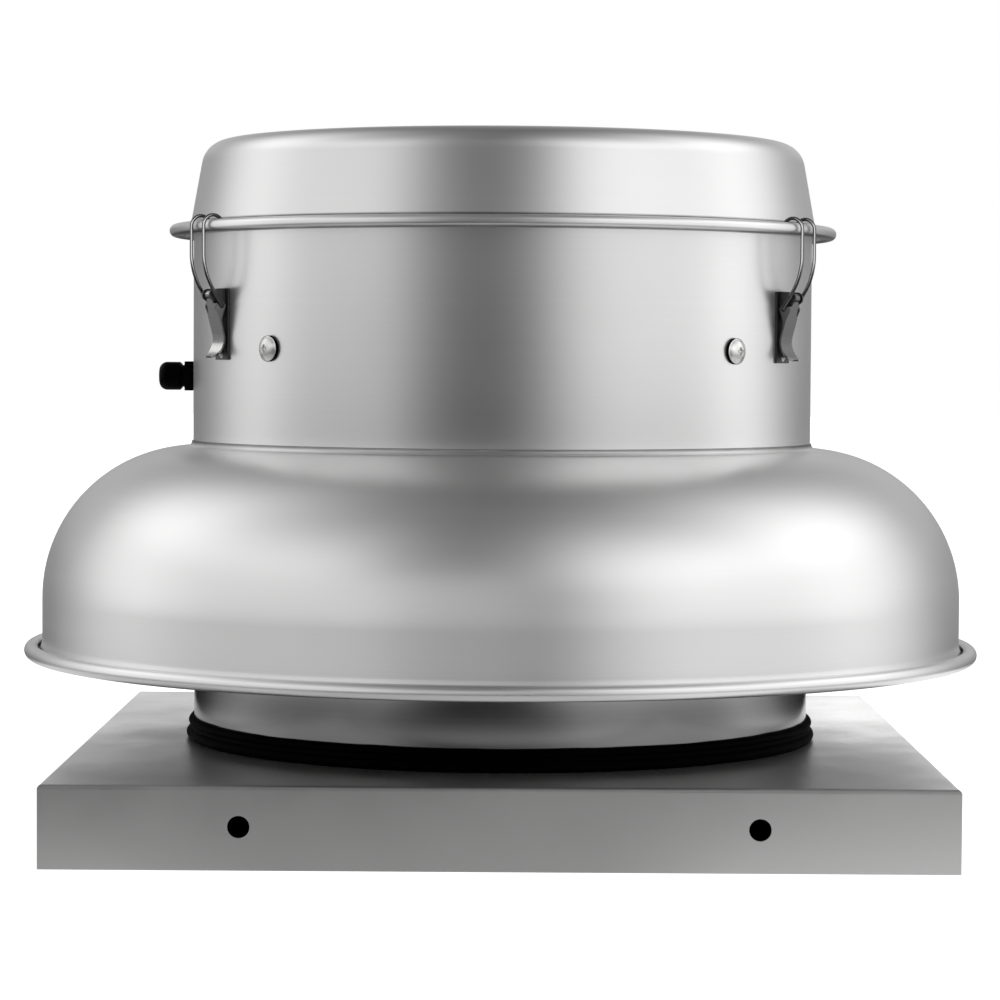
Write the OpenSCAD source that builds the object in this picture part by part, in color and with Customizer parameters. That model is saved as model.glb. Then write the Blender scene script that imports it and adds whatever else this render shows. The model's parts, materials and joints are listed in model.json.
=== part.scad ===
// Roof exhaust fan: a downblast centrifugal fan in spun aluminium shells on a square curb cap.
// The origin is the centre of the curb cap's lower edge, +Z is up and the front faces -Y.

/* [Curb cap] */
// Width and depth of the square curb cap
base_w = 450; // [430:5:600]
// Height of the curb cap
base_h = 41.5; // [36:0.5:80]
// Sheet thickness of the curb cap
base_t = 1.5; // [1:0.1:2.5]
// Inside radius of the folded top edges
base_bend = 0.8; // [0.5:0.1:4]
// Diameter of the fixing holes in the sides
base_hole_d = 11; // [6:0.5:14]
// Distance between the two fixing holes of a side
base_hole_pitch = 254; // [150:1:380]
// Height of the fixing holes above the lower edge
base_hole_z = 21.3; // [12:0.1:24]

/* [Inlet collar] */
// Outer radius of the inlet collar, which the drum, shroud and wheel follow
collar_r = 168.5; // [156:0.5:180]
// Sheet thickness of the inlet collar
collar_t = 1.5; // [1:0.1:2.5]
// Height of the inlet collar above its gasket
collar_h = 59.5; // [54:0.5:64]
// Width of the collar's inward flanges
collar_flange = 17; // [15:0.5:22]
// Thickness of the rubber under the collar
gasket_t = 3; // [2:0.5:5]
// Height of the rubber lip round the collar
gasket_h = 12; // [10:0.5:14]
// Radius of the gasket's lower bulge
gasket_bulge_low = 3; // [2:0.1:3.5]
// Radius of the gasket's upper bulge
gasket_bulge_top = 2.4; // [1.8:0.1:3]

/* [Inlet cone] */
// Distance of the throat's inside wall from the collar's outer radius
throat_in = 64.5; // [58:0.5:72]
// Radius of the bell mouth
bell_r = 28; // [20:1:30]
// Sheet thickness of the inlet cone
cone_t = 1.2; // [0.8:0.1:2]
// Straight lip at the top of the throat
cone_lip = 6; // [3:0.5:8]

/* [Shroud] */
// Outer radius of the dome's quarter arc
dome_r = 82; // [74:0.5:90]
// Height of the foot of the dome's arc
shoulder_z = 119; // [118:0.5:124]
// Sheet thickness of the shroud
shroud_t = 1.5; // [1:0.1:2]
// Radius of the fillet where the shroud turns up to the drum
collar_fillet = 3; // [2.5:0.1:4]
// Outer radius of the rolled rim
rim_r = 4; // [3.5:0.1:5]
// Distance of the rolled rim's centre outside the skirt
rim_out = 5.8; // [5:0.1:7]
// Height of the rolled rim's centre
rim_z = 90.4; // [86:0.1:94]

/* [Motor drum] */
// Distance of the motor drum's wall outside the collar's
drum_past = 0.8; // [0:0.1:2]
// Sheet thickness of the motor drum
drum_t = 1.2; // [0.8:0.1:1.6]
// Height of the motor drum above its shoulder
drum_h = 112.6; // [108:0.1:125]
// Width of the drum's lower flange
drum_flange = 18; // [16:0.5:24]
// Width of the drum's outward upper lip, on which the cap's brim rests
drum_lip = 5.2; // [4.8:0.1:5.6]
// Height of the drum screws above the drum's shoulder
drum_screw_up = 50.1; // [46:0.1:56]
// Diameter of the drum screws' heads
drum_screw_head = 12.9; // [11:0.1:14]
// Thickness of the rubber washers under those heads
screw_washer_t = 1.5; // [1:0.1:2]

/* [Motor cap] */
// Sheet thickness of the motor cap
cap_t = 1.2; // [0.8:0.1:1.6]
// Radius of the cap's wall at its foot, measured past the drum
cap_over = 2.3; // [2:0.1:3]
// Height of the cap's wall and corner above its brim
cap_h = 49.3; // [40:0.1:60]
// Inward lean of the cap's wall in degrees
cap_lean = 10.2; // [6:0.1:12]
// Outer radius of the cap's top corner
cap_corner = 14; // [8:0.5:18]
// Rise of the crown above the corner
crown_rise = 3; // [1:0.1:8]
// Outer radius of the rolled bead
bead_r = 3.25; // [2.8:0.05:3.6]
// Distance of the bead's centre outside the drum
bead_out = 9.9; // [9.6:0.1:10.6]

/* [Latches] */
// Distance of the lever's pivot outside the drum
pivot_out = 7; // [6.8:0.1:8]
// Depth of the lever's pivot below the cap's brim
pivot_drop = 34.5; // [33:0.1:38]
// Distance of the bail's pivot inside the lever's pivot
link_in = 3.3; // [2.6:0.1:3.6]
// Depth of the bail's pivot below the lever's pivot
link_down = 6; // [5.6:0.1:7]
// Diameter of the bail's wire
wire_d = 1.9; // [1.6:0.1:2.2]
// Side clearance between the lever and each of the bail's legs
leg_gap = 0.35; // [0.3:0.05:0.6]
// Width of the lever's strip below the ears
lever_w = 13.4; // [12.6:0.1:14]
// Length of the lever's straight stretch
lever_len = 21; // [18:0.5:23]
// Inward lean of the lever's straight stretch in degrees
lever_lean = 15.5; // [13:0.1:16.5]
// Radius of the lever's curled thumb tab
tab_r = 10.5; // [8:0.5:12]
// Angle that the thumb tab curls through in degrees
tab_turn = 80; // [50:1:90]
// Radius of the two rounded corners at the thumb tab's end
tab_corner = 5; // [2:0.5:6]
// Sheet thickness of the lever and bracket
latch_t = 1; // [0.8:0.1:1.1]
// Width of the latch bracket
bracket_w = 15; // [13:0.5:18]
// Height of the latch bracket
bracket_h = 37.5; // [36:0.5:42]

/* [Wheel] */
// Distance of the wheel's rim inside the collar's outer radius
wheel_in = 22.5; // [22:0.5:32]
// Number of blades
blade_count = 10; // [7:1:12]
// Distance that the blades reach inside the throat's radius
blade_reach = 18; // [10:0.5:26]
// Angle that each blade sweeps back in degrees
blade_sweep = 40; // [30:1:48]
// Radius of each blade's curve
blade_arc = 105; // [90:1:140]
// Thickness of the blades
blade_t = 2; // [1.2:0.1:2.5]
// Sheet thickness of the wheel's back plate and inlet ring
wheel_t = 1.5; // [1:0.1:2]
// Running gap between the inlet cone's lip and the wheel's inlet ring
eye_gap = 2.8; // [2:0.1:4]
// Gap between the wheel's back plate and the motor plate
wheel_gap = 9; // [8.5:0.5:10]
// Outer radius of the hub
hub_r = 16; // [14:0.5:20]
// Length of the hub below the back plate
hub_h = 22; // [18:1:26]

/* [Motor] */
// Radius of the motor's shaft
shaft_r = 7; // [6:0.5:8]
// Outer radius of the motor's body
motor_r = 68; // [64:0.5:72]
// Height of the motor's body between its covers
motor_h = 78; // [72:1:86]
// Outer radius of the rotor
rotor_r = 38; // [32:0.5:42]
// Air gap between the rotor and the stator
air_gap = 0.5; // [0.4:0.1:1]
// Thickness of the motor plate
plate_t = 3; // [2.5:0.1:3]
// Radius of the capacitor
capacitor_r = 18; // [14:0.5:20]

/* [Outlet guard] */
// Width and height of the guard's bars
guard_bar = 2.5; // [2:0.1:3]
// Number of ring bars
guard_rings = 5; // [3:1:6]
// Number of cross bars
guard_spokes = 24; // [16:4:36]

/* [Cable gland] */
// Height of the gland above the drum's shoulder
gland_up = 35; // [30:0.5:50]
// Outer diameter of the gland's dome nut
gland_d = 15.4; // [14.6:0.1:17]
// Diameter of the gland's cable opening
gland_bore = 6; // [5:0.1:6.6]

/* [Hidden] */
$fn = 96;

// Colours
ALUMINIUM = [0.78, 0.78, 0.77];
BASE_GREY = [0.55, 0.55, 0.55];
STEEL = [0.62, 0.63, 0.64];
ZINC = [0.70, 0.71, 0.72];
BLACK = [0.06, 0.06, 0.06];
MOTOR_GREY = [0.30, 0.32, 0.34];

// Radii that follow the collar
drum_r = collar_r + drum_past;
throat_r = collar_r - throat_in;
wheel_r = collar_r - wheel_in;
blade_in_r = throat_r - blade_reach;

// Clearances
seat = 0.3;      // between two pieces that sit side by side
snug = 0.1;      // between a piece and the curved wall that it hugs
pin_fit = 0.05;  // radial clearance of a turning pin
over = 1;        // how far a cutter runs past the face that it cuts
shave = 0.01;    // neighbouring stretches of a bent sheet or wire differ by this, so that they join cleanly
lap = 0.05;      // how far a shaved stretch runs into its neighbour
lap_turn = 1;    // the same for a shaved bend, in degrees
fine = 256;      // facets of a cutter that follows the drum's wall

// Heights and radii that follow from the sizes above
base_open_r = collar_r - collar_flange;
gasket_top = base_h + gasket_t;
collar_top = gasket_top + collar_h;
cone_top = collar_top + bell_r + cone_lip;
lip_out = 0.7;
dome_in = 1;
lip_r = drum_r + lip_out;
dome_c_r = lip_r - dome_in;
skirt_r = dome_c_r + dome_r;
fillet_c_r = lip_r + collar_fillet;
fillet_turn = acos((fillet_c_r - dome_c_r) / (dome_r + collar_fillet));
shoulder_top = shoulder_z + (dome_r + collar_fillet) * sin(fillet_turn);
drum_neck_r = lip_r - shroud_t - seat;
plate_drop = 0.5;
plate_top = shoulder_z + dome_r - shroud_t - plate_drop;
plate_low = plate_top - plate_t;
drum_top = shoulder_top + drum_h;
brim_top = drum_top + cap_t;
bead_c_r = drum_r + bead_out;
bead_rise = 0.3;
bead_z = brim_top + bead_rise;
wire_r = wire_d / 2;
pivot_r = drum_r + pivot_out;
pivot_z = drum_top - pivot_drop;

// Bolts: an M5 through the posts, an M4 in the collar
m5_r = 2.5;
m5_flats = 8;
m5_head_h = 3.5;
m5_nut_h = 4;
m4_r = 2;
hole_fit = 0.3;

latch_angles = [-150, -30, 90];
post_angles = [45, 135, 225, 315];
fan_steps = 12;

// A ring sector of outer radius r and wall t, between the angles a0 and a1, in the profile's plane
module band(centre, r, t, a0, a1) {
    translate(centre)
        intersection() {
            difference() {
                circle(r = r);
                circle(r = r - t);
            }
            polygon(concat([[0, 0]], [
                for (i = [0:fan_steps])
                    let (a = a0 + (a1 - a0) * i / fan_steps)
                    2 * r * [cos(a), sin(a)]
            ]));
        }
}

// A rectangle between two corners, in the profile's plane
module span(low, high) {
    translate(low)
        square([high[0] - low[0], high[1] - low[1]]);
}

// A flat ring
module washer_ring(r_out, r_in, z, h, facets = $fn) {
    translate([0, 0, z])
        difference() {
            cylinder(r = r_out, h = h, $fn = facets);
            translate([0, 0, -over])
                cylinder(r = r_in, h = h + 2 * over, $fn = facets);
        }
}

// Its children, turned so that +Z points outwards at radius r and height z of an azimuth
module outwards(azimuth, r, z) {
    rotate([0, 0, azimuth])
        translate([r, 0, z])
            rotate([0, 90, 0])
                children();
}

// A hexagon prism measured across its flats
module hexagon(flats, h) {
    cylinder(r = flats / 2 / cos(30), h = h, $fn = 6);
}

// A hexagon-headed bolt that hangs from its head's seat at z = 0
module bolt(r, length) {
    hexagon(m5_flats, m5_head_h);
    translate([0, 0, -length])
        cylinder(r = r, h = length + over);
}

// A nut that hangs from its seat at z = 0
module nut(r, h) {
    translate([0, 0, -h])
        difference() {
            hexagon(m5_flats, h);
            translate([0, 0, -over])
                cylinder(r = r + pin_fit, h = h + 2 * over);
        }
}

// Curb cap

base_half = base_w / 2;
base_hole_angles = [0, 90, 180, 270];

// A folded tray's section: straight sides and two rounded top corners
module tray_section(half, top, bend) {
    span([-half, 0], [half, top - bend]);
    span([bend - half, 0], [half - bend, top]);
    for (side = [-1, 1])
        translate([side * (half - bend), top - bend])
            circle(r = bend);
}

module tray(half, low, top, bend) {
    intersection() {
        translate([0, half + over, low])
            rotate([90, 0, 0])
                linear_extrude(2 * half + 2 * over)
                    tray_section(half, top - low, bend);
        translate([-half - over, 0, low])
            rotate([90, 0, 90])
                linear_extrude(2 * half + 2 * over)
                    tray_section(half, top - low, bend);
    }
}

module curb_cap() {
    color(BASE_GREY)
        difference() {
            tray(base_half, 0, base_h, base_bend + base_t);
            tray(base_half - base_t, -over, base_h - base_t, base_bend);
            cylinder(r = base_open_r, h = base_h + over);
            for (a = base_hole_angles, side = [-1, 1])
                rotate([0, 0, a])
                    translate([base_half - base_t - over, side * base_hole_pitch / 2, base_hole_z])
                        rotate([0, 90, 0])
                            cylinder(d = base_hole_d, h = base_t + 2 * over);
            collar_rivet_places() {
                translate([0, 0, -over - rivet_grip])
                    cylinder(r = m4_r + hole_fit, h = base_t + gasket_t + 2 * over);
                translate([0, 0, -shave - rivet_grip])
                    cylinder(r1 = sink_r, r2 = m4_r + hole_fit, h = sink_h);
            }
        }
}

// Inlet collar and its gasket

collar_rivet_count = 8;
collar_rivet_r = collar_r - collar_t - collar_flange / 2;
collar_rivet_turn = 22.5;
rivet_grip = collar_t + gasket_t + base_t;
sink_r = 4.2;
sink_h = 1.1;

// Its children at each collar rivet, on top of the collar's lower flange
module collar_rivet_places() {
    for (i = [0:collar_rivet_count - 1])
        rotate([0, 0, collar_rivet_turn + i * 360 / collar_rivet_count])
            translate([collar_rivet_r, 0, gasket_top + collar_t])
                children();
}

gasket_wall = 1.6;
bulge_low_out = 1.2;
bulge_top_out = 0.6;

module collar_gasket() {
    bulge_low_c = [collar_r + bulge_low_out, base_h + gasket_bulge_low];
    bulge_top_c = [collar_r + bulge_top_out, base_h + gasket_h - gasket_bulge_top];
    color(BLACK)
        difference() {
            rotate_extrude()
                difference() {
                    union() {
                        span([base_open_r, base_h], [collar_r + gasket_wall, gasket_top]);
                        span([collar_r - gasket_wall, base_h], [collar_r + gasket_wall, bulge_top_c[1]]);
                        translate(bulge_low_c)
                            circle(r = gasket_bulge_low);
                        translate(bulge_top_c)
                            circle(r = gasket_bulge_top);
                    }
                    span([base_open_r - over, gasket_top], [collar_r + snug, gasket_top + gasket_h]);
                    span([base_open_r - over, 0], [collar_r + 2 * gasket_h, base_h]);
                }
            collar_rivet_places()
                translate([0, 0, -over - collar_t - gasket_t])
                    cylinder(r = m4_r + hole_fit, h = gasket_t + 2 * over);
        }
}

module inlet_collar() {
    color(ALUMINIUM)
        difference() {
            rotate_extrude()
                union() {
                    span([collar_r - collar_t, gasket_top], [collar_r, collar_top]);
                    span([base_open_r, gasket_top], [collar_r, gasket_top + collar_t]);
                    span([base_open_r, collar_top - collar_t], [collar_r, collar_top]);
                }
            collar_rivet_places()
                translate([0, 0, -over - collar_t])
                    cylinder(r = m4_r + hole_fit, h = collar_t + 2 * over);
            post_bolt_places(collar_top)
                translate([0, 0, -over - collar_t])
                    cylinder(r = m5_r + hole_fit, h = collar_t + 2 * over);
            cone_rivet_places()
                translate([0, 0, -over - collar_t - cone_t])
                    cylinder(r = m4_r + hole_fit, h = collar_t + cone_t + 2 * over);
        }
}

// Rivets with a formed head inside the collar, flush with the underside of the curb cap
module collar_rivets() {
    head_r = 3.8;
    head_top_r = 3;
    head_h = 1.6;
    color(ZINC)
        collar_rivet_places() {
            cylinder(r1 = head_r, r2 = head_top_r, h = head_h);
            translate([0, 0, -rivet_grip])
                cylinder(r = m4_r, h = rivet_grip + head_h / 2);
            translate([0, 0, -rivet_grip])
                cylinder(r1 = sink_r - hole_fit, r2 = m4_r, h = sink_h);
        }
}

// Inlet cone

cone_rivet_count = 8;
cone_rivet_turn = 22.5;

module cone_rivet_places() {
    for (i = [0:cone_rivet_count - 1])
        rotate([0, 0, cone_rivet_turn + i * 360 / cone_rivet_count])
            translate([post_bolt_r, 0, collar_top + cone_t])
                children();
}

module inlet_cone() {
    bell_c = [throat_r + bell_r, collar_top + bell_r];
    color(ALUMINIUM)
        difference() {
            rotate_extrude()
                union() {
                    band(bell_c, bell_r, cone_t, 180, 270);
                    span([throat_r, bell_c[1]], [throat_r + cone_t, cone_top]);
                    span([bell_c[0], collar_top], [collar_r - seat, collar_top + cone_t]);
                }
            post_bolt_places(collar_top + cone_t)
                translate([0, 0, -over - cone_t])
                    cylinder(r = m5_r + hole_fit, h = cone_t + 2 * over);
            cone_rivet_places()
                translate([0, 0, -over - cone_t])
                    cylinder(r = m4_r + hole_fit, h = cone_t + 2 * over);
        }
}

module cone_rivets() {
    head_r = 4;
    head_top_r = 2.5;
    tail_r = 3.4;
    head_h = 1.5;
    grip = cone_t + collar_t;
    color(ALUMINIUM)
        cone_rivet_places() {
            cylinder(r1 = head_r, r2 = head_top_r, h = head_h);
            translate([0, 0, -grip - head_h])
                cylinder(r = m4_r, h = grip + 1.5 * head_h);
            translate([0, 0, -grip - head_h])
                cylinder(r1 = head_top_r, r2 = tail_r, h = head_h);
        }
}

// Outlet guard

guard_drop = 6;
guard_z = collar_top - guard_drop;
guard_in_r = collar_r + seat + guard_bar / 2;
guard_out_r = skirt_r - shroud_t - seat - guard_bar / 2;
guard_step = (guard_out_r - guard_in_r) / (guard_rings - 1);
guard_sink = 0.6;

module outlet_guard() {
    half = guard_bar / 2;
    color(ZINC) {
        for (i = [0:guard_rings - 1])
            washer_ring(guard_in_r + i * guard_step + half, guard_in_r + i * guard_step - half,
                guard_z - half, guard_bar);
        for (i = [0:guard_spokes - 1])
            rotate([0, 0, i * 360 / guard_spokes])
                translate([guard_in_r, -half, guard_z + half - guard_sink])
                    cube([guard_out_r - guard_in_r, guard_bar, guard_bar]);
    }
}

// Shroud

rim_turn = 60;
rim_slit = 145;

module shroud() {
    skirt_mid = skirt_r - shroud_t / 2;
    rim_mid = rim_r - shroud_t / 2;
    rim_c = [skirt_r + rim_out, rim_z];
    meet = [rim_c[0] - rim_mid * cos(rim_turn), rim_z - rim_mid * sin(rim_turn)];
    flare_r = (meet[0] - skirt_mid) / (1 - cos(rim_turn));
    flare_c = [skirt_mid + flare_r, meet[1] + flare_r * sin(rim_turn)];
    color(ALUMINIUM)
        rotate_extrude()
            union() {
                band([dome_c_r, shoulder_z], dome_r, shroud_t, 0, fillet_turn);
                band([fillet_c_r, shoulder_top], collar_fillet + shroud_t - shave, shroud_t - 2 * shave,
                    180, 180 + fillet_turn + lap_turn);
                span([skirt_r - shroud_t + shave, flare_c[1] - lap], [skirt_r - shave, shoulder_z + lap]);
                band(flare_c, flare_r + shroud_t / 2, shroud_t, 180, 180 + rim_turn);
                band(rim_c, rim_r - shave, shroud_t - 2 * shave, 180 + rim_turn - lap_turn, 360 + rim_slit);
            }
}

// Posts between the inlet collar and the motor plate

post_t = 3;
post_w = 28;
post_past_wheel = 7;
post_edge_in = 1.5;
bolt_end = 1;
post_web_r = wheel_r + post_past_wheel;
post_low = collar_top + cone_t;
post_bolt_r = (post_web_r + post_t + collar_r - collar_t) / 2;
post_foot_out = collar_r - post_edge_in;
post_bolt_half = 8;

// Its children at each post bolt, at height z
module post_bolt_places(z) {
    for (a = post_angles, side = [-1, 1])
        rotate([0, 0, a])
            translate([post_bolt_r, side * post_bolt_half, z])
                children();
}

module support_post(n) {
    foot = post_foot_out - post_web_r;
    color(ZINC)
        difference() {
            rotate([0, 0, post_angles[n - 1]])
                union() {
                    translate([post_web_r, -post_w / 2, post_low])
                        cube([post_t, post_w, plate_low - post_low]);
                    translate([post_web_r, -post_w / 2, post_low])
                        cube([foot, post_w, post_t]);
                    translate([post_web_r, -post_w / 2, plate_low - post_t])
                        cube([foot, post_w, post_t]);
                }
            post_bolt_places(post_low - over)
                cylinder(r = m5_r + hole_fit, h = plate_low - post_low + 2 * over);
        }
}

module post_bolts() {
    low_grip = post_t + cone_t + collar_t;
    top_grip = drum_t + plate_t + post_t;
    color(ZINC) {
        post_bolt_places(post_low + post_t)
            bolt(m5_r, low_grip + m5_nut_h + bolt_end);
        post_bolt_places(plate_top + drum_t)
            bolt(m5_r, top_grip + m5_nut_h + bolt_end);
    }
}

module post_nuts() {
    color(ZINC) {
        post_bolt_places(collar_top - collar_t)
            nut(m5_r, m5_nut_h);
        post_bolt_places(plate_low - post_t)
            nut(m5_r, m5_nut_h);
    }
}

// Motor plate

plate_past = 6;
plate_r = lip_r + plate_past;
plate_bore = 24;

module motor_plate() {
    color(ALUMINIUM)
        difference() {
            translate([0, 0, plate_low])
                cylinder(r = plate_r, h = plate_t);
            translate([0, 0, plate_low - over])
                cylinder(r = plate_bore, h = plate_t + 2 * over);
            post_bolt_places(plate_low - over)
                cylinder(r = m5_r + hole_fit, h = plate_t + 2 * over);
        }
}

// Motor drum

drum_screw_z = shoulder_top + drum_screw_up;
drum_screw_r = 3;
gland_z = shoulder_top + gland_up;
gland_thread_r = 6;
rivet_r = 1.6;

// Its children at each drum screw, turned outwards, with the drum's axis at z = 0
module drum_screw_places(r) {
    for (a = post_angles)
        outwards(a, r, drum_screw_z)
            children();
}

// Its children at each latch rivet, turned outwards
module rivet_places(r) {
    for (a = latch_angles, down = [bracket_top - rivet_inset, bracket_top - bracket_h + rivet_inset])
        outwards(a, r, down)
            children();
}

module motor_drum() {
    inner = drum_r - drum_t;
    color(ALUMINIUM)
        difference() {
            rotate_extrude()
                polygon([
                    [drum_neck_r - drum_flange, plate_top],
                    [drum_neck_r, plate_top],
                    [drum_neck_r, shoulder_top],
                    [drum_r, shoulder_top],
                    [drum_r, drum_top - drum_t],
                    [drum_r + drum_lip, drum_top - drum_t],
                    [drum_r + drum_lip, drum_top],
                    [inner, drum_top],
                    [inner, shoulder_top + drum_t],
                    [drum_neck_r - drum_t, shoulder_top + drum_t],
                    [drum_neck_r - drum_t, plate_top + drum_t],
                    [drum_neck_r - drum_flange, plate_top + drum_t]
                ]);
            post_bolt_places(plate_top - over)
                cylinder(r = m5_r + hole_fit, h = drum_t + 2 * over);
            drum_screw_places(inner - over)
                cylinder(r = drum_screw_r + hole_fit, h = drum_t + 2 * over);
            rivet_places(inner - over)
                cylinder(r = rivet_r + pin_fit, h = drum_t + 2 * over);
            outwards(180, inner - over, gland_z)
                cylinder(r = gland_thread_r + hole_fit, h = drum_t + 2 * over);
        }
}

// Drum screws, their rubber washers and the rubber mounts behind the wall

mount_r = 9;
mount_len = 7.8;
washer_past = 0.5;
screw_end = 9;
tab_in_r = drum_r - drum_t - mount_len - seat;

module screw_washers() {
    color(BLACK)
        difference() {
            drum_screw_places(drum_r - over)
                difference() {
                    cylinder(d = drum_screw_head + washer_past, h = screw_washer_t + over);
                    translate([0, 0, -over])
                        cylinder(r = drum_screw_r + hole_fit, h = screw_washer_t + 3 * over);
                }
            translate([0, 0, drum_screw_z - drum_screw_head])
                cylinder(r = drum_r + snug, h = 2 * drum_screw_head, $fn = fine);
        }
}

// A domed head with a cross recess, seated at z = 0
module pan_head(d, h) {
    sphere_r = (d * d / 4 + h * h) / (2 * h);
    recess_w = d / 10;
    recess_half = d / 5;
    recess_low = h * 0.4;
    difference() {
        intersection() {
            translate([0, 0, h - sphere_r])
                sphere(r = sphere_r);
            cylinder(d = d, h = h);
        }
        for (a = [0, 90])
            rotate([0, 0, a])
                translate([-recess_half, -recess_w / 2, recess_low])
                    cube([2 * recess_half, recess_w, h]);
    }
}

module drum_screws() {
    head_h = 3;
    grip = screw_washer_t + drum_t + mount_len + screw_end;
    color(STEEL)
        drum_screw_places(drum_r + screw_washer_t) {
            pan_head(drum_screw_head, head_h);
            translate([0, 0, -grip])
                cylinder(r = drum_screw_r, h = grip + head_h / 10);
        }
}

module spider_mounts() {
    color(BLACK)
        drum_screw_places(tab_in_r)
            difference() {
                cylinder(r = mount_r, h = mount_len);
                translate([0, 0, -over])
                    cylinder(r = drum_screw_r + hole_fit, h = mount_len + 2 * over);
            }
}

// Motor

motor_lift = 18;
motor_low = plate_top + motor_lift;
motor_mid_z = drum_screw_z;
motor_shell = 2;
cover_t = 7;
bearing_r = 17.5;
bearing_h = 11;
rotor_h = 44;
rotor_z = motor_low + (motor_h - rotor_h) / 2;
spider_h = 9;
arm_w = 24;
arm_t = 3;
fin_count = 24;
fin_out = 4;
fin_t = 2;
boss_wall = 5;
boss_end = 2;
shaft_gap = 1.5;
race_w = 3;
ring_wall = 2;
tab_h = 30;
gusset_len = 30;

module motor_body() {
    ring_low = motor_mid_z - spider_h / 2 - seat;
    ring_top = motor_mid_z + spider_h / 2 + seat;
    color(MOTOR_GREY)
        difference() {
            union() {
                translate([0, 0, motor_low])
                    cylinder(r = motor_r - fin_out, h = motor_h);
                for (i = [0:fin_count - 1])
                    rotate([0, 0, i * 360 / fin_count])
                        translate([motor_r - fin_out - over, -fin_t / 2, motor_low])
                            cube([fin_out + over, fin_t, motor_h]);
            }
            translate([0, 0, motor_low - over])
                cylinder(r = motor_r - fin_out - motor_shell, h = motor_h + 2 * over);
            washer_ring(motor_r + over, motor_r - fin_out, ring_low, ring_top - ring_low);
        }
}

module stator() {
    color("darkgoldenrod")
        difference() {
            translate([0, 0, rotor_z])
                cylinder(r = motor_r - fin_out - motor_shell - snug, h = rotor_h);
            translate([0, 0, rotor_z - over])
                cylinder(r = rotor_r + air_gap, h = rotor_h + 2 * over);
        }
}

// A bearing cover whose boss reaches from z0 away from the motor
module motor_cover(z0, up) {
    translate([0, 0, z0])
        rotate([up ? 0 : 180, 0, 0])
            difference() {
                union() {
                    cylinder(r = motor_r, h = cover_t);
                    cylinder(r = bearing_r + boss_wall, h = bearing_h + boss_end);
                }
                translate([0, 0, -over])
                    cylinder(r = bearing_r + snug, h = bearing_h + over);
                translate([0, 0, -over])
                    cylinder(r = shaft_r + shaft_gap, h = bearing_h + boss_end + 2 * over);
            }
}

module motor_cover_lower() {
    color(MOTOR_GREY)
        motor_cover(motor_low, false);
}

module motor_cover_upper() {
    color(MOTOR_GREY)
        motor_cover(motor_low + motor_h, true);
}

// A ball bearing drawn as its two rings and a ball cage between them
module bearing(z) {
    color(STEEL)
        translate([0, 0, z])
            difference() {
                cylinder(r = bearing_r, h = bearing_h);
                translate([0, 0, -over])
                    cylinder(r = shaft_r + pin_fit, h = bearing_h + 2 * over);
                washer_ring(bearing_r - race_w, shaft_r + race_w, -over, 2 * over);
                washer_ring(bearing_r - race_w, shaft_r + race_w, bearing_h - over, 2 * over);
            }
}

module bearing_lower() {
    bearing(motor_low - bearing_h);
}

module bearing_upper() {
    bearing(motor_low + motor_h);
}

// The motor's ring and four arms, which end in pads behind the drum screws
module motor_spider() {
    ring_in = motor_r - fin_out + snug;
    ring_out = motor_r + ring_wall;
    color(ZINC)
        difference() {
            union() {
                washer_ring(ring_out, ring_in, motor_mid_z - spider_h / 2, spider_h);
                for (a = post_angles)
                    rotate([0, 0, a]) {
                        translate([ring_out - ring_wall / 2, -arm_w / 2, motor_mid_z - tab_h / 2])
                            cube([tab_in_r - ring_out + ring_wall / 2, arm_w, arm_t]);
                        translate([tab_in_r - arm_t, -arm_w / 2, motor_mid_z - tab_h / 2])
                            cube([arm_t, arm_w, tab_h]);
                        translate([ring_out - ring_wall / 2, -arm_t / 2, motor_mid_z - tab_h / 2])
                            cube([gusset_len, arm_t, tab_h / 2 + spider_h / 2]);
                    }
            }
            drum_screw_places(tab_in_r - arm_t - over)
                cylinder(r = drum_screw_r + pin_fit, h = arm_t + 2 * over);
        }
}

// Electrics on the motor plate, placed by their distance inside the drum's wall

function inside_of_drum(distance) = distance - drum_r;

box_size = [40, 70, 40];
box_wall = 2;
box_inside = 51.3;
lid_skirt = 3;
box_centre = inside_of_drum(box_inside);

module terminal_box() {
    color(BLACK)
        translate([box_centre - box_size[0] / 2, -box_size[1] / 2, plate_top])
            difference() {
                cube(box_size);
                translate([box_wall, box_wall, box_wall])
                    cube([box_size[0] - 2 * box_wall, box_size[1] - 2 * box_wall, box_size[2]]);
            }
}

module terminal_lid() {
    color(BLACK)
        translate([box_centre - box_size[0] / 2, -box_size[1] / 2, plate_top + box_size[2]]) {
            cube([box_size[0], box_size[1], box_wall]);
            translate([box_wall + snug, box_wall + snug, -lid_skirt])
                cube([box_size[0] - 2 * box_wall - 2 * snug, box_size[1] - 2 * box_wall - 2 * snug, lid_skirt]);
        }
}

capacitor_inside = 53.3;
capacitor_x = -inside_of_drum(capacitor_inside);
capacitor_h = 68;
blade_size = [1, 6, 8];
clamp_t = 1.5;
clamp_h = 14;
clamp_foot = [16, 14, 2];

module capacitor() {
    color("gainsboro")
        translate([capacitor_x, 0, plate_top]) {
            cylinder(r = capacitor_r, h = capacitor_h);
            for (side = [-1, 1])
                translate([-blade_size[0] / 2, (side - 0.5) * blade_size[1], capacitor_h])
                    cube(blade_size);
        }
}

module capacitor_clamp() {
    reach = capacitor_r + clamp_foot[1];
    color(ZINC)
        translate([capacitor_x, 0, plate_top])
            difference() {
                union() {
                    cylinder(r = capacitor_r + snug + clamp_t, h = clamp_h);
                    for (side = [-1, 1])
                        translate([-clamp_foot[0] / 2, side > 0 ? 0 : -reach, 0])
                            cube([clamp_foot[0], reach, clamp_foot[2]]);
                }
                translate([0, 0, -over])
                    cylinder(r = capacitor_r + snug, h = clamp_h + 2 * over);
            }
}

// Cable gland

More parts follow.
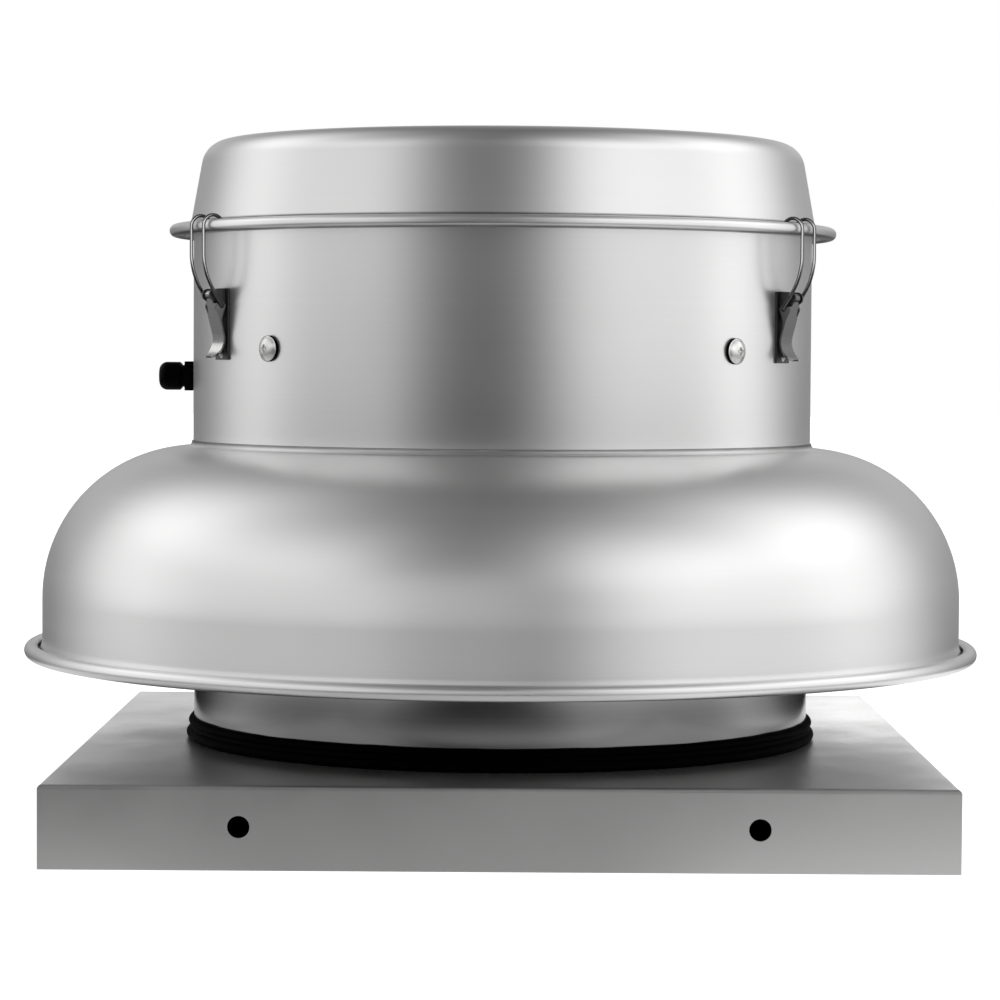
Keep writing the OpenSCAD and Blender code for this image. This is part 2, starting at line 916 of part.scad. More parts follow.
gland_seat_t = 1.2;
gland_hex = 16;
gland_hex_h = 4;
gland_hex_turn = 30;
gland_groove = 1.6;
gland_nut_h = 12.6;
gland_dome = 4.4;
gland_inside = 10;
gland_neck = 5;
gland_wall = 2;
gland_crown = 1.4;
gland_mouth = 0.4;
gland_groove_w = 1.6;
insert_h = 6;
insert_in = 0.6;
locknut_h = 4;
locknut_past = 1;
gland_hex_r = drum_r + gland_seat_t;
gland_nut_start = gland_hex_h + gland_groove;
gland_top = gland_nut_start + gland_neck;

module gland_washer() {
    color(BLACK)
        difference() {
            outwards(180, drum_r - over, gland_z)
                difference() {
                    cylinder(d = gland_hex, h = gland_seat_t + over);
                    translate([0, 0, -over])
                        cylinder(r = gland_thread_r + hole_fit, h = gland_seat_t + 3 * over);
                }
            translate([0, 0, gland_z - gland_hex])
                cylinder(r = drum_r + snug, h = 2 * gland_hex, $fn = fine);
        }
}

module gland_body() {
    tail = gland_inside + gland_seat_t + drum_t;
    color(BLACK)
        outwards(180, gland_hex_r, gland_z)
            difference() {
                union() {
                    rotate([0, 0, gland_hex_turn])
                        hexagon(gland_hex, gland_hex_h);
                    translate([0, 0, -tail])
                        cylinder(r = gland_thread_r, h = tail + gland_top);
                }
                translate([0, 0, -tail - over])
                    cylinder(r = gland_thread_r - gland_wall, h = tail + gland_top + 2 * over);
            }
}

module gland_insert() {
    color(BLACK)
        outwards(180, gland_hex_r + gland_top + snug, gland_z)
            difference() {
                cylinder(r = gland_thread_r - insert_in, h = insert_h);
                translate([0, 0, -over])
                    cylinder(d = gland_bore, h = insert_h + 2 * over);
            }
}

module gland_nut() {
    inner = gland_thread_r + pin_fit;
    color(BLACK)
        outwards(180, gland_hex_r + gland_nut_start, gland_z)
            rotate_extrude()
                difference() {
                    union() {
                        span([0, 0], [gland_d / 2, gland_nut_h - gland_dome]);
                        span([0, 0], [gland_d / 2 - gland_dome, gland_nut_h]);
                        translate([gland_d / 2 - gland_dome, gland_nut_h - gland_dome])
                            circle(r = gland_dome);
                    }
                    span([-over, -over], [inner, gland_nut_h - gland_crown]);
                    span([-over, -over], [gland_bore / 2 + gland_mouth, gland_nut_h + over]);
                    translate([gland_d / 2, 0])
                        rotate([0, 0, 45])
                            square(gland_groove_w, center = true);
                    span([-gland_d, -over], [0, gland_nut_h + over]);
                }
}

module gland_locknut() {
    color(BLACK)
        outwards(180, drum_r - drum_t - locknut_h - seat, gland_z)
            difference() {
                hexagon(gland_hex + locknut_past, locknut_h);
                translate([0, 0, -over])
                    cylinder(r = gland_thread_r + pin_fit, h = locknut_h + 2 * over);
            }
}

// Motor cap

cap_foot_r = drum_r + cap_over;
brim_fillet = 1.5;
bead_low_turn = -135;
bead_slit = 196;

module motor_cap() {
    lean = cap_lean;
    edge_z = brim_top + cap_h;
    corner_z = edge_z - cap_corner;
    corner_r = cap_foot_r - (corner_z - brim_top) * tan(lean) - cap_corner / cos(lean);
    crown_r = (corner_r * corner_r / crown_rise + 2 * cap_corner + crown_rise) / 2;
    crown_c = edge_z + crown_rise - crown_r;
    crown_half = asin(corner_r / (crown_r - cap_corner));
    crown_steps = 12;
    fillet_c = [cap_foot_r - brim_fillet * tan(lean) + brim_fillet / cos(lean), brim_top + brim_fillet];
    wall_out = [cos(lean), sin(lean)];
    wall_low = fillet_c - brim_fillet * wall_out;
    wall_high = [corner_r, corner_z] + cap_corner * wall_out;
    color(ALUMINIUM) {
        rotate_extrude()
            polygon(concat(
                [for (i = [0:crown_steps]) let (a = crown_half * i / crown_steps)
                    [crown_r * sin(a), crown_c + crown_r * cos(a)]],
                [for (i = [crown_steps:-1:0]) let (a = crown_half * i / crown_steps)
                    [(crown_r - cap_t) * sin(a), crown_c + (crown_r - cap_t) * cos(a)]]
            ));
        rotate_extrude()
            union() {
                band([corner_r, corner_z], cap_corner - shave, cap_t - 2 * shave,
                    lean - lap_turn, 90 - crown_half + lap_turn);
                polygon([wall_low, wall_high, wall_high - cap_t * wall_out, wall_low - cap_t * wall_out]);
                band(fillet_c, brim_fillet + cap_t - shave, cap_t - 2 * shave,
                    180 + lean - lap_turn, 270 + lap_turn);
                span([fillet_c[0], drum_top], [bead_c_r - bead_r + cap_t / 2, brim_top]);
                band([bead_c_r, bead_z], bead_r, cap_t, bead_low_turn, bead_slit);
            }
    }
}

// Latches: in a latch's own frame +X points away from the drum, and Z keeps its height

ear_in = 3.8;
ear_r = 3.2;
ear_drop = 5;
pin_r = 1;
pin_end = 0.2;
flange_gap = 0.4;
flange_in = ear_in + latch_t + flange_gap;
flange_out = flange_in + latch_t;
leg_half = flange_out + wire_r + leg_gap;
leg_drop = 14;
knuckle_r = 2.4;
knuckle_half = ear_in - seat;
bracket_past = 3.5;
bracket_top = pivot_z + bracket_past;
rivet_inset = 3;
rivet_head_r = 2.2;
rivet_head_h = 1;
rivet_dome_r = 3;
rivet_tail = 1.2;
rivet_tail_r = 2.4;
hook_gap = 1.3;
hook_r = bead_r + wire_r + hook_gap;
hook_back = 0.5;
hook_end = 140;
leg_lean = 33;
wire_bend = 1.6;
lever_step = 8;

module at_latch(n) {
    rotate([0, 0, latch_angles[n - 1]])
        children();
}

module latch_rivets() {
    head_seat = drum_r + latch_t + snug;
    tail_r = drum_r - drum_t - rivet_tail;
    color(STEEL) {
        rivet_places(head_seat)
            intersection() {
                translate([0, 0, rivet_head_h - rivet_dome_r])
                    sphere(r = rivet_dome_r);
                cylinder(r = rivet_head_r, h = rivet_head_h);
            }
        rivet_places(tail_r)
            cylinder(r = rivet_r, h = head_seat + rivet_head_h / 4 - tail_r);
        rivet_places(tail_r)
            cylinder(r = rivet_tail_r, h = rivet_tail - snug);
    }
}

// An ear's outline: a round end at the pivot and a root on the bracket's plate
module ear_outline() {
    root = drum_r + latch_t / 2 - pivot_r;
    difference() {
        union() {
            circle(r = ear_r);
            polygon([
                [root, bracket_top - pivot_z],
                [0, ear_r],
                [ear_r * 0.5, 0],
                [0, -ear_r],
                [root, -ear_drop]
            ]);
        }
        circle(r = pin_r + pin_fit / 2);
    }
}

module latch_bracket(n) {
    color(STEEL)
        at_latch(n) {
            difference() {
                intersection() {
                    washer_ring(drum_r + latch_t + snug, drum_r + snug, bracket_top - bracket_h, bracket_h, fine);
                    translate([drum_r / 2, -bracket_w / 2, bracket_top - bracket_h - over])
                        cube([drum_r, bracket_w, bracket_h + 2 * over]);
                }
                for (z = [bracket_top - rivet_inset, bracket_top - bracket_h + rivet_inset])
                    translate([drum_r - over, 0, z])
                        rotate([0, 90, 0])
                            cylinder(r = rivet_r + pin_fit, h = latch_t + 3 * over);
            }
            for (side = [-1, 1])
                translate([pivot_r, side * (ear_in + latch_t / 2) + latch_t / 2, pivot_z])
                    rotate([90, 0, 0])
                        linear_extrude(latch_t)
                            ear_outline();
        }
}

module latch_pin(n) {
    half = ear_in + latch_t + pin_end;
    color(STEEL)
        at_latch(n)
            translate([pivot_r, half, pivot_z])
                rotate([90, 0, 0])
                    cylinder(r = pin_r, h = 2 * half);
}

// The lever's midline in the pivot's frame: a straight lean inwards, then a curl outwards
lever_start = [knuckle_r - latch_t, 0];
lever_bend = lever_start + lever_len * [-sin(lever_lean), -cos(lever_lean)];
tab_c = lever_bend + tab_r * [cos(lever_lean), -sin(lever_lean)];
tab_end = 180 - lever_lean + tab_turn;
tab_tip = tab_c + (tab_r - latch_t / 2) * [cos(tab_end), sin(tab_end)];

// Points at distance d from the midline, from the knuckle to the tab's tip
function lever_side(d) = concat(
    [lever_start + d * [cos(lever_lean), -sin(lever_lean)]],
    [for (i = [0:lever_step])
        let (a = 180 - lever_lean + tab_turn * i / lever_step)
        tab_c + (tab_r - d) * [cos(a), sin(a)]]
);

function reversed(list) = [for (i = [len(list) - 1:-1:0]) list[i]];

module lever_profile() {
    polygon(concat(lever_side(latch_t / 2), reversed(lever_side(-latch_t / 2))));
}

// A plate across the latch from -half to half, whose outline lies in the X-Z plane
module across(half) {
    translate([0, half, 0])
        rotate([90, 0, 0])
            linear_extrude(2 * half)
                children();
}

link_boss_r = 2.1;
link_top_turn = 110;
link_low_turn = 215;
flange_len = 15;
flange_shoulder = [[-0.9, -4.4], [-0.6, -6]];

// The side flange that carries the bail: from a boss round the bail's end down to a point on the strip
module lever_flange() {
    link = [-link_in, -link_down];
    strip = lever_start + flange_len * [-sin(lever_lean), -cos(lever_lean)];
    difference() {
        union() {
            translate(link)
                circle(r = link_boss_r);
            polygon([
                link + link_boss_r * [cos(link_top_turn), sin(link_top_turn)],
                lever_start + flange_shoulder[0],
                lever_start + flange_shoulder[1],
                strip,
                link + link_boss_r * [cos(link_low_turn), sin(link_low_turn)]
            ]);
        }
        translate(link)
            circle(r = wire_r + pin_fit);
    }
}

// What the two rounded corners take off the end of the thumb tab
module tab_corners() {
    for (side = [0, 1])
        mirror([0, side, 0])
            translate([tab_tip[0] - tab_corner, lever_w / 2 - tab_corner, tab_tip[1] - latch_t])
                difference() {
                    cube([tab_corner + over, tab_corner + over, tab_r]);
                    translate([0, 0, -over])
                        cylinder(r = tab_corner, h = tab_r + 2 * over);
                }
}

ear_gap = 1.2;
slot_low = -10.5;
slot_top = 3;
slot_half = 10;

// A lever: a knuckle and a narrow tongue between the ears, a wide strip below them and two side flanges
module lever(n) {
    wide_top = -ear_r - ear_gap;
    cut = 4 * lever_len;
    color(STEEL)
        at_latch(n)
            translate([pivot_r, 0, pivot_z])
                difference() {
                    union() {
                        across(knuckle_half)
                            circle(r = knuckle_r);
                        across(knuckle_half)
                            lever_profile();
                        intersection() {
                            across(lever_w / 2)
                                lever_profile();
                            translate([-cut / 2, -cut / 2, wide_top - cut])
                                cube(cut);
                        }
                        for (side = [-1, 1])
                            translate([0, side * (flange_in + latch_t / 2), 0])
                                across(latch_t / 2)
                                    lever_flange();
                    }
                    across(knuckle_half + over)
                        circle(r = pin_r + pin_fit);
                    tab_corners();
                    for (side = [-1, 1])
                        translate([0, side * (lever_w / 2 + flange_out), 0])
                            across(lever_w / 2)
                                span([-slot_half, slot_low], [slot_half, slot_top]);
                }
}

// A straight run of wire, with its children at the far end
module run(length) {
    translate([0, 0, -lap])
        cylinder(r = wire_r - shave, h = length + 2 * lap);
    translate([0, 0, length])
        children();
}

// A bend of radius r through an angle, towards the direction that turn gives
module bend(r, angle, turn = 0) {
    rotate([0, 0, turn]) {
        translate([r, 0, 0])
            rotate([90, 0, 180])
                rotate_extrude(angle = angle)
                    translate([r, 0])
                        circle(r = wire_r);
        translate([r, 0, 0])
            rotate([0, angle, 0])
                translate([-r, 0, 0])
                    children();
    }
}

joint_run = 0.3;

// Half a bail, from the middle of its crossbar over the bead and down to its end in the lever
module bail_half() {
    hook_c = [bead_c_r - hook_back, bead_z];
    leg_low = bead_z - leg_drop;
    in_total = hook_c[0] + hook_r - (pivot_r - link_in);
    down_total = leg_low - (pivot_z - link_down);
    curve_r = (down_total * sin(leg_lean) - in_total * cos(leg_lean)) / (1 - cos(leg_lean));
    straight = (down_total - curve_r * sin(leg_lean)) / cos(leg_lean);
    up_turn = hook_end - 90;
    bar = hook_c + hook_r * [cos(hook_end), sin(hook_end)];
    start = bar - (wire_bend + joint_run) * [cos(up_turn), sin(up_turn)];
    end_bend = leg_half - flange_out;
    translate([start[0], 0, start[1]])
        rotate([-90, 0, 0])
            run(leg_half - wire_bend)
                bend(wire_bend, 90, -up_turn)
                    run(joint_run)
                        bend(hook_r, hook_end, 90)
                            run(leg_drop)
                                bend(curve_r, leg_lean)
                                    run(straight - end_bend)
                                        bend(end_bend, 90, -90)
                                            run(flange_out - flange_in);
}

module bail(n) {
    color(STEEL)
        at_latch(n) {
            bail_half();
            mirror([0, 1, 0])
                bail_half();
        }
}

// Wheel, shaft and rotor

wheel_top = plate_low - wheel_gap;
wheel_plate_low = wheel_top - wheel_t;
ring_overlap = 5;
ring_lip_top = 1;
ring_rise = 14;
shaft_end = 6;
blade_gap = 0.15;
hub_disc_past = 20;
hub_disc_t = 4;
hub_screw_up = 3;
ring_in_r = throat_r + cone_t + eye_gap;
ring_low = cone_top - ring_overlap;
ring_cone_low = cone_top + ring_lip_top;
ring_cone_top = ring_cone_low + ring_rise;
hub_low = wheel_plate_low - hub_h;
shaft_low = hub_low - shaft_end;
shaft_top = motor_low + motor_h + bearing_h + shaft_end;

module motor_shaft() {
    color(STEEL)
        translate([0, 0, shaft_low])
            cylinder(r = shaft_r, h = shaft_top - shaft_low);
}

module rotor() {
    color(STEEL)
        washer_ring(rotor_r, shaft_r + pin_fit / 2, rotor_z, rotor_h);
}

module wheel_hub() {
    disc_r = hub_r + hub_disc_past;
    disc_low = wheel_plate_low - hub_disc_t;
    cone_low = hub_low + 2 * hub_screw_up;
    color(ALUMINIUM)
        difference() {
            union() {
                translate([0, 0, hub_low])
                    cylinder(r = hub_r, h = hub_h);
                translate([0, 0, disc_low])
                    cylinder(r = disc_r, h = hub_disc_t);
                rotate_extrude()
                    polygon([
                        [hub_r - over, cone_low],
                        [hub_r, cone_low],
                        [disc_r - hub_disc_t, disc_low],
                        [hub_r - over, disc_low]
                    ]);
            }
            translate([0, 0, hub_low - over])
                cylinder(r = shaft_r + pin_fit / 2, h = hub_h + 2 * over);
            outwards(90, shaft_r - over, hub_low + hub_screw_up)
                cylinder(r = m4_r + pin_fit / 2, h = hub_r);
        }
}

module hub_screw() {
    length = hub_r - shaft_r - 1;
    socket = 2;
    color(ZINC)
        outwards(90, shaft_r + pin_fit, hub_low + hub_screw_up)
            difference() {
                cylinder(r = m4_r, h = length);
                translate([0, 0, length - socket])
                    hexagon(socket, socket + over);
            }
}

module wheel_back_plate() {
    color(ALUMINIUM)
        washer_ring(wheel_r, shaft_r + shaft_gap, wheel_plate_low, wheel_t);
}

module wheel_inlet_ring() {
    color(ALUMINIUM)
        rotate_extrude()
            polygon([
                [ring_in_r, ring_low],
                [ring_in_r + wheel_t, ring_low],
                [ring_in_r + wheel_t, ring_cone_low],
                [wheel_r, ring_cone_top],
                [wheel_r, ring_cone_top + wheel_t],
                [ring_in_r, ring_cone_low + wheel_t]
            ]);
}

// One blade's plan: a strip of a circle through its inner and outer edges
module blade_plan() {
    inner = [blade_in_r, 0];
    outer = wheel_r * [cos(blade_sweep), sin(blade_sweep)];
    chord = outer - inner;
    length = norm(chord);
    side = [chord[1], -chord[0]] / length;
    past = 20;
    spare_turn = 5;
    centre = (inner + outer) / 2 - side * sqrt(blade_arc * blade_arc - length * length / 4);
    intersection() {
        translate(centre)
            difference() {
                circle(r = blade_arc + blade_t / 2);
                circle(r = blade_arc - blade_t / 2);
            }
        difference() {
            circle(r = wheel_r);
            circle(r = blade_in_r);
        }
        polygon([
            [0, -past],
            [wheel_r + past, -past],
            2 * wheel_r * [cos(blade_sweep + spare_turn), sin(blade_sweep + spare_turn)],
            [0, 0]
        ]);
    }
}

module wheel_blades() {
    color(ALUMINIUM)
        difference() {
            for (i = [0:blade_count - 1])
                rotate([0, 0, i * 360 / blade_count])
                    translate([0, 0, ring_low])
                        linear_extrude(wheel_plate_low - ring_low)
                            blade_plan();
            rotate_extrude()
                polygon([
                    [0, ring_low - over],
                    [wheel_r + over, ring_low - over],
                    [wheel_r + over, ring_cone_top + wheel_t + blade_gap],
                    [wheel_r, ring_cone_top + wheel_t + blade_gap],
                    [ring_in_r, ring_cone_low + wheel_t + blade_gap],
                    [0, ring_cone_low + wheel_t + blade_gap]
                ]);
        }
}

curb_cap();
collar_gasket();
inlet_collar();
collar_rivets();
inlet_cone();
cone_rivets();
outlet_guard();
shroud();
support_post(1);  // support_post_1
support_post(2);  // support_post_2
support_post(3);  // support_post_3
support_post(4);  // support_post_4
post_bolts();
post_nuts();
motor_plate();
motor_drum();
drum_screws();
screw_washers();
spider_mounts();
motor_spider();
motor_body();
stator();
motor_cover_lower();
motor_cover_upper();
bearing_lower();
bearing_upper();
terminal_box();
terminal_lid();
capacitor();
capacitor_clamp();
gland_washer();
gland_body();
gland_nut();
gland_insert();
gland_locknut();
latch_rivets();
latch_bracket(1);  // latch_bracket_1
latch_bracket(2);  // latch_bracket_2
latch_bracket(3);  // latch_bracket_3
latch_pin(1);  // latch_pin_1
latch_pin(2);  // latch_pin_2
latch_pin(3);  // latch_pin_3
motor_cap();
lever(1);  // lever_1
lever(2);  // lever_2
lever(3);  // lever_3
bail(1);  // bail_1
bail(2);  // bail_2
bail(3);  // bail_3
motor_shaft();
rotor();
wheel_hub();
hub_screw();
wheel_back_plate();
wheel_blades();
wheel_inlet_ring();
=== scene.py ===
"""Looks of a roof exhaust fan: spun aluminium shells, a folded curb cap, draw latches, screws, a gland,
their finishes and the studio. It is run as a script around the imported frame."""

import json
import math

import bmesh
import bpy
from bpy.props import FloatProperty, FloatVectorProperty, IntProperty, PointerProperty
from mathutils import Matrix, Vector


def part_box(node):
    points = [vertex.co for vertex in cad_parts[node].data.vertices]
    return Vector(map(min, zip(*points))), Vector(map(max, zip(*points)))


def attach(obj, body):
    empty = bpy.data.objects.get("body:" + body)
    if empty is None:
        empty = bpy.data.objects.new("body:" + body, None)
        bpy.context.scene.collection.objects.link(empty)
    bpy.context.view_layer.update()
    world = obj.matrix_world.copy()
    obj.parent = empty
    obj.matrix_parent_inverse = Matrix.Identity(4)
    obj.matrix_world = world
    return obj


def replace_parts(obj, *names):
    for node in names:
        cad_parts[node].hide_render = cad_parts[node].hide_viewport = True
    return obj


bl_info = {
    "name": "Roof exhaust fan looks",
    "version": (1, 0, 0),
    "blender": (4, 5, 0),
    "location": "View3D > Sidebar > Roof fan",
    "description": "Builds the visible shells, latches, fastenings and finishes of a roof exhaust fan",
    "category": "Add Mesh",
}

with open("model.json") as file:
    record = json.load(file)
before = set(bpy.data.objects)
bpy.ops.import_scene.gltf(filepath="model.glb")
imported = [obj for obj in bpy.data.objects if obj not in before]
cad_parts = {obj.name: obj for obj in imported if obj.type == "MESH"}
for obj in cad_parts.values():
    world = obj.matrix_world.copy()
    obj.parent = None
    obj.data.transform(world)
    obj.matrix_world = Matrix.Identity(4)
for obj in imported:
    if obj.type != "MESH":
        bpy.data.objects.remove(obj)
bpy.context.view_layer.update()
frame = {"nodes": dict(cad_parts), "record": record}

MM = 0.001
TURN = 2 * math.pi
HOUSING = "housing"
BUMP_DEPTH = 0.2 * MM
COLLAR_RADIUS = 168.5 * MM
COLLAR_OPENING = 151.5 * MM


# Brightness of the studio: (degrees round the fan, strength) and (degrees of height, strength)
SIDE_STOPS = (
    (-180, 0.22), (-160, 0.16), (-142, 0.18), (-126, 0.5), (-114, 1.05), (-98, 1.4), (-86, 1.15), (-76, 0.92),
    (-40, 0.96), (-24, 0.26), (-14, 0.1), (0, 0.1), (10, 0.25), (26, 1.12), (42, 1.3), (60, 1.2), (76, 1.2),
    (88, 1.6), (106, 1.3), (120, 0.62), (138, 0.25), (160, 0.22), (180, 0.22),
)
HEIGHT_STOPS = (
    (-90, 0.3), (-10, 0.9), (12, 0.94), (22, 0.92), (31, 1.2), (40, 1.15), (50, 0.8), (60, 0.5), (70, 0.25),
    (80, 0.12), (90, 0.08),
)


# Soft boxes: name, place, aim, width and height, watts, and the pieces that they light
SOFT_BOXES = (
    ("front_light", (-0.27, -0.95, 0.31), (-0.27, 0, 0.31), (0.7, 0.62), 0.6, ("spun_shroud",)),
    ("wire_light", (0, -1.05, 0.55), (0, 0, 0.3), (2.0, 0.8), 32, ("latch_wire_1", "latch_wire_2")),
    ("screw_light", (0, -1.7, 0.9), (0, 0, 0.28), (3.0, 0.8), 7, ("drum_screw_heads",)),
    ("tab_light", (-0.78, 0.48, 1.1), (-0.15, -0.09, 0.26), (0.7, 1.6), 7, ("latch_handle_1",)),
    ("back_light_right", (0.9, 1.5, 0.35), (0.1, 0, 0.04), (1.6, 0.7), 6, ("folded_curb_cap",)),
    ("back_light_left", (-0.9, 1.5, 0.35), (-0.1, 0, 0.04), (1.6, 0.7), 3, ("folded_curb_cap",)),
)


# Sizes and colours that a user would change


def length_property(name, default, description):
    return FloatProperty(name=name, description=description, default=default, unit="LENGTH")


def angle_property(name, degrees, description):
    return FloatProperty(name=name, description=description, default=math.radians(degrees), unit="ROTATION")


def colour_property(name, default, description):
    return FloatVectorProperty(name=name, description=description, default=default, subtype="COLOR")


class ShellSizes(bpy.types.PropertyGroup):
    """Sizes of the spun shells, in metres."""

    sheet: length_property("Shroud sheet", 1.5 * MM, "Thickness of the shroud's sheet")
    thin_sheet: length_property("Drum sheet", 1.2 * MM, "Thickness of the drum's and cap's sheet")
    skirt_radius: length_property("Skirt radius", 251 * MM, "Outer radius of the shroud's straight skirt")
    dome_radius: length_property("Dome radius", 82 * MM, "Outer radius of the dome's quarter arc")
    drum_radius: length_property("Drum radius", 169.3 * MM, "Outer radius of the motor drum")
    rim_radius: length_property("Rim radius", 4 * MM, "Outer radius of the shroud's rolled rim")
    bead_radius: length_property("Bead radius", 3.25 * MM, "Outer radius of the cap's rolled bead")
    segments: IntProperty(
        name="Segments", description="Steps round each spun shell", default=256, min=32, max=360
    )


class LatchSizes(bpy.types.PropertyGroup):
    """Sizes of the latches' wire bails and of the drum screws, in metres."""

    wire: length_property("Wire", 0.95 * MM, "Radius of the bail's wire")
    hook: length_property("Hook", 5.5 * MM, "Radius of the hook over the bead")
    hook_turn: angle_property("Hook turn", 140, "Turn of the hook")
    lean: angle_property("Lean", 33, "Lean of the bail's lower leg")
    half_width: length_property("Half width", 7.5 * MM, "From the bail's middle to a leg")
    screw_head: length_property("Screw head", 6.45 * MM, "Radius of a drum screw's head")


class Finishes(bpy.types.PropertyGroup):
    """Colours of the finishes."""

    aluminium: colour_property("Aluminium", (0.74, 0.74, 0.738), "Colour of the spun sheet")
    base_metal: colour_property("Curb cap", (0.5, 0.5, 0.497), "Colour of the curb cap's sheet")
    steel: colour_property("Stainless steel", (0.5, 0.5, 0.495), "Colour of the latches and screws")
    zinc: colour_property("Zinc plate", (0.55, 0.56, 0.57), "Colour of the plated parts inside")
    black: colour_property("Black", (0.012, 0.012, 0.012), "Colour of rubber and nylon")


class Studio(bpy.types.PropertyGroup):
    """The camera and the light."""

    distance: length_property("Camera distance", 1.8325, "From the fan's middle to the camera")
    height: length_property("Camera height", 0.2516, "Height of the camera above the floor")
    lens: FloatProperty(name="Lens", description="Focal length in millimetres", default=119.65, unit="CAMERA")
    strength: FloatProperty(
        name="Light", description="Strength of the room's light", default=1.0, min=0.0, subtype="FACTOR"
    )
    table: length_property("Table", 1.75, "Radius of the pale table that the fan reflects")


# Shader helpers


class Nodes:
    """Adds nodes to one tree and links them in one call."""

    def __init__(self, tree):
        self.tree = tree

    def add(self, kind, inputs=(), **settings):
        node = self.tree.nodes.new(kind)
        for name, value in settings.items():
            setattr(node, name, value)
        for key, value in dict(inputs).items():
            self.put(node.inputs[key], value)
        return node

    def put(self, socket, value):
        if isinstance(value, bpy.types.NodeSocket):
            self.tree.links.new(value, socket)
        else:
            socket.default_value = value

    def math(self, operation, a, b=0.0, c=0.0, clamp=False):
        node = self.add("ShaderNodeMath", {0: a, 1: b, 2: c}, operation=operation, use_clamp=clamp)
        return node.outputs[0]

    def ramp(self, angle, half_turn, stops):
        """A brightness by an angle, from stops in degrees between -half_turn and half_turn."""
        end = math.radians(half_turn)
        node = self.add("ShaderNodeValToRGB", {0: span_of(self, angle, -end, end, 0.0, 1.0)})
        elements = node.color_ramp.elements
        while len(elements) < len(stops):
            elements.new(0.5)
        for element, (degrees, value) in zip(elements, stops):
            element.position = (degrees + half_turn) / (2 * half_turn)
            element.color = (value, value, value, 1)
        return node.outputs[0]

    def noise(self, place, scale, detail, roughness=0.5):
        values = {"Vector": place, "Scale": scale, "Detail": detail, "Roughness": roughness}
        return self.add("ShaderNodeTexNoise", values).outputs[0]

    def bump(self, height, strength):
        values = {"Strength": strength, "Distance": BUMP_DEPTH, "Height": height}
        return self.add("ShaderNodeBump", values).outputs[0]


def shader_group(name, inputs, outputs):
    """A new shader node group with float inputs, and its helper and its two end nodes."""
    tree = bpy.data.node_groups.new(name, "ShaderNodeTree")
    for label, default in inputs:
        socket = tree.interface.new_socket(label, in_out="INPUT", socket_type="NodeSocketFloat")
        socket.default_value = default
    for label, kind in outputs:
        tree.interface.new_socket(label, in_out="OUTPUT", socket_type=kind)
    nodes = Nodes(tree)
    return tree, nodes, nodes.add("NodeGroupInput"), nodes.add("NodeGroupOutput")


def radius_of(nodes, x, y):
    """Distance from the wheel's axis."""
    return nodes.math("SQRT", nodes.math("ADD", nodes.math("MULTIPLY", x, x), nodes.math("MULTIPLY", y, y)))


def spinning_lines_group():
    """Fine rings left by the spinning tool: they follow the radius and the height, and not the turn."""
    tree, nodes, start, end = shader_group(
        "spinning_lines",
        [("Lines per metre", 900.0), ("Depth", 0.05), ("Patchiness", 0.5)],
        [("Mask", "NodeSocketFloat"), ("Normal", "NodeSocketVector")],
    )
    place = nodes.add("ShaderNodeTexCoord").outputs["Object"]
    x, y, z = nodes.add("ShaderNodeSeparateXYZ", {0: place}).outputs
    flat = nodes.add("ShaderNodeCombineXYZ", {0: radius_of(nodes, x, y), 1: 0.0, 2: z}).outputs[0]
    lines = nodes.noise(flat, start.outputs["Lines per metre"], 3.0, 0.6)
    patch = nodes.math("MULTIPLY", start.outputs["Patchiness"], nodes.noise(place, 9.0, 2.0))
    mask = nodes.math("MULTIPLY", lines, nodes.math("SUBTRACT", 1.0, patch))
    nodes.put(end.inputs["Mask"], mask)
    nodes.put(end.inputs["Normal"], nodes.bump(mask, start.outputs["Depth"]))
    return tree


def grain_group():
    """Rolled or moulded surface grain, and soft smudges that change the gloss."""
    tree, nodes, start, end = shader_group(
        "surface_grain",
        [("Grain scale", 900.0), ("Depth", 0.1), ("Smudge scale", 14.0)],
        [("Grain", "NodeSocketFloat"), ("Smudge", "NodeSocketFloat"), ("Normal", "NodeSocketVector")],
    )
    place = nodes.add("ShaderNodeTexCoord").outputs["Object"]
    grain = nodes.noise(place, start.outputs["Grain scale"], 3.0)
    nodes.put(end.inputs["Grain"], grain)
    nodes.put(end.inputs["Smudge"], nodes.noise(place, start.outputs["Smudge scale"], 4.0, 0.6))
    nodes.put(end.inputs["Normal"], nodes.bump(grain, start.outputs["Depth"]))
    return tree


def seam_painted_shade_group():
    """Painted shade: a dark line round the fan where a seam shades it, at one height and past one radius."""
    tree, nodes, start, end = shader_group(
        "seam_grime",
        [("Height", 0.3), ("Reach", 0.002), ("Least radius", 0.0), ("Depth", 0.6)],
        [("Mask", "NodeSocketFloat")],
    )
    place = nodes.add("ShaderNodeTexCoord").outputs["Object"]
    x, y, z = nodes.add("ShaderNodeSeparateXYZ", {0: place}).outputs
    away = nodes.math("ABSOLUTE", nodes.math("SUBTRACT", z, start.outputs["Height"]))
    near = nodes.math("SUBTRACT", 1.0, nodes.math("DIVIDE", away, start.outputs["Reach"]), clamp=True)
    past = nodes.math("GREATER_THAN", radius_of(nodes, x, y), start.outputs["Least radius"])
    mask = nodes.math("MULTIPLY", nodes.math("MULTIPLY", near, past), start.outputs["Depth"])
    mask = nodes.math("MULTIPLY", mask, span_of(nodes, nodes.noise(place, 60.0, 2.0), 0.3, 0.7, 0.85, 1.0))
    nodes.put(end.inputs["Mask"], mask)
    return tree


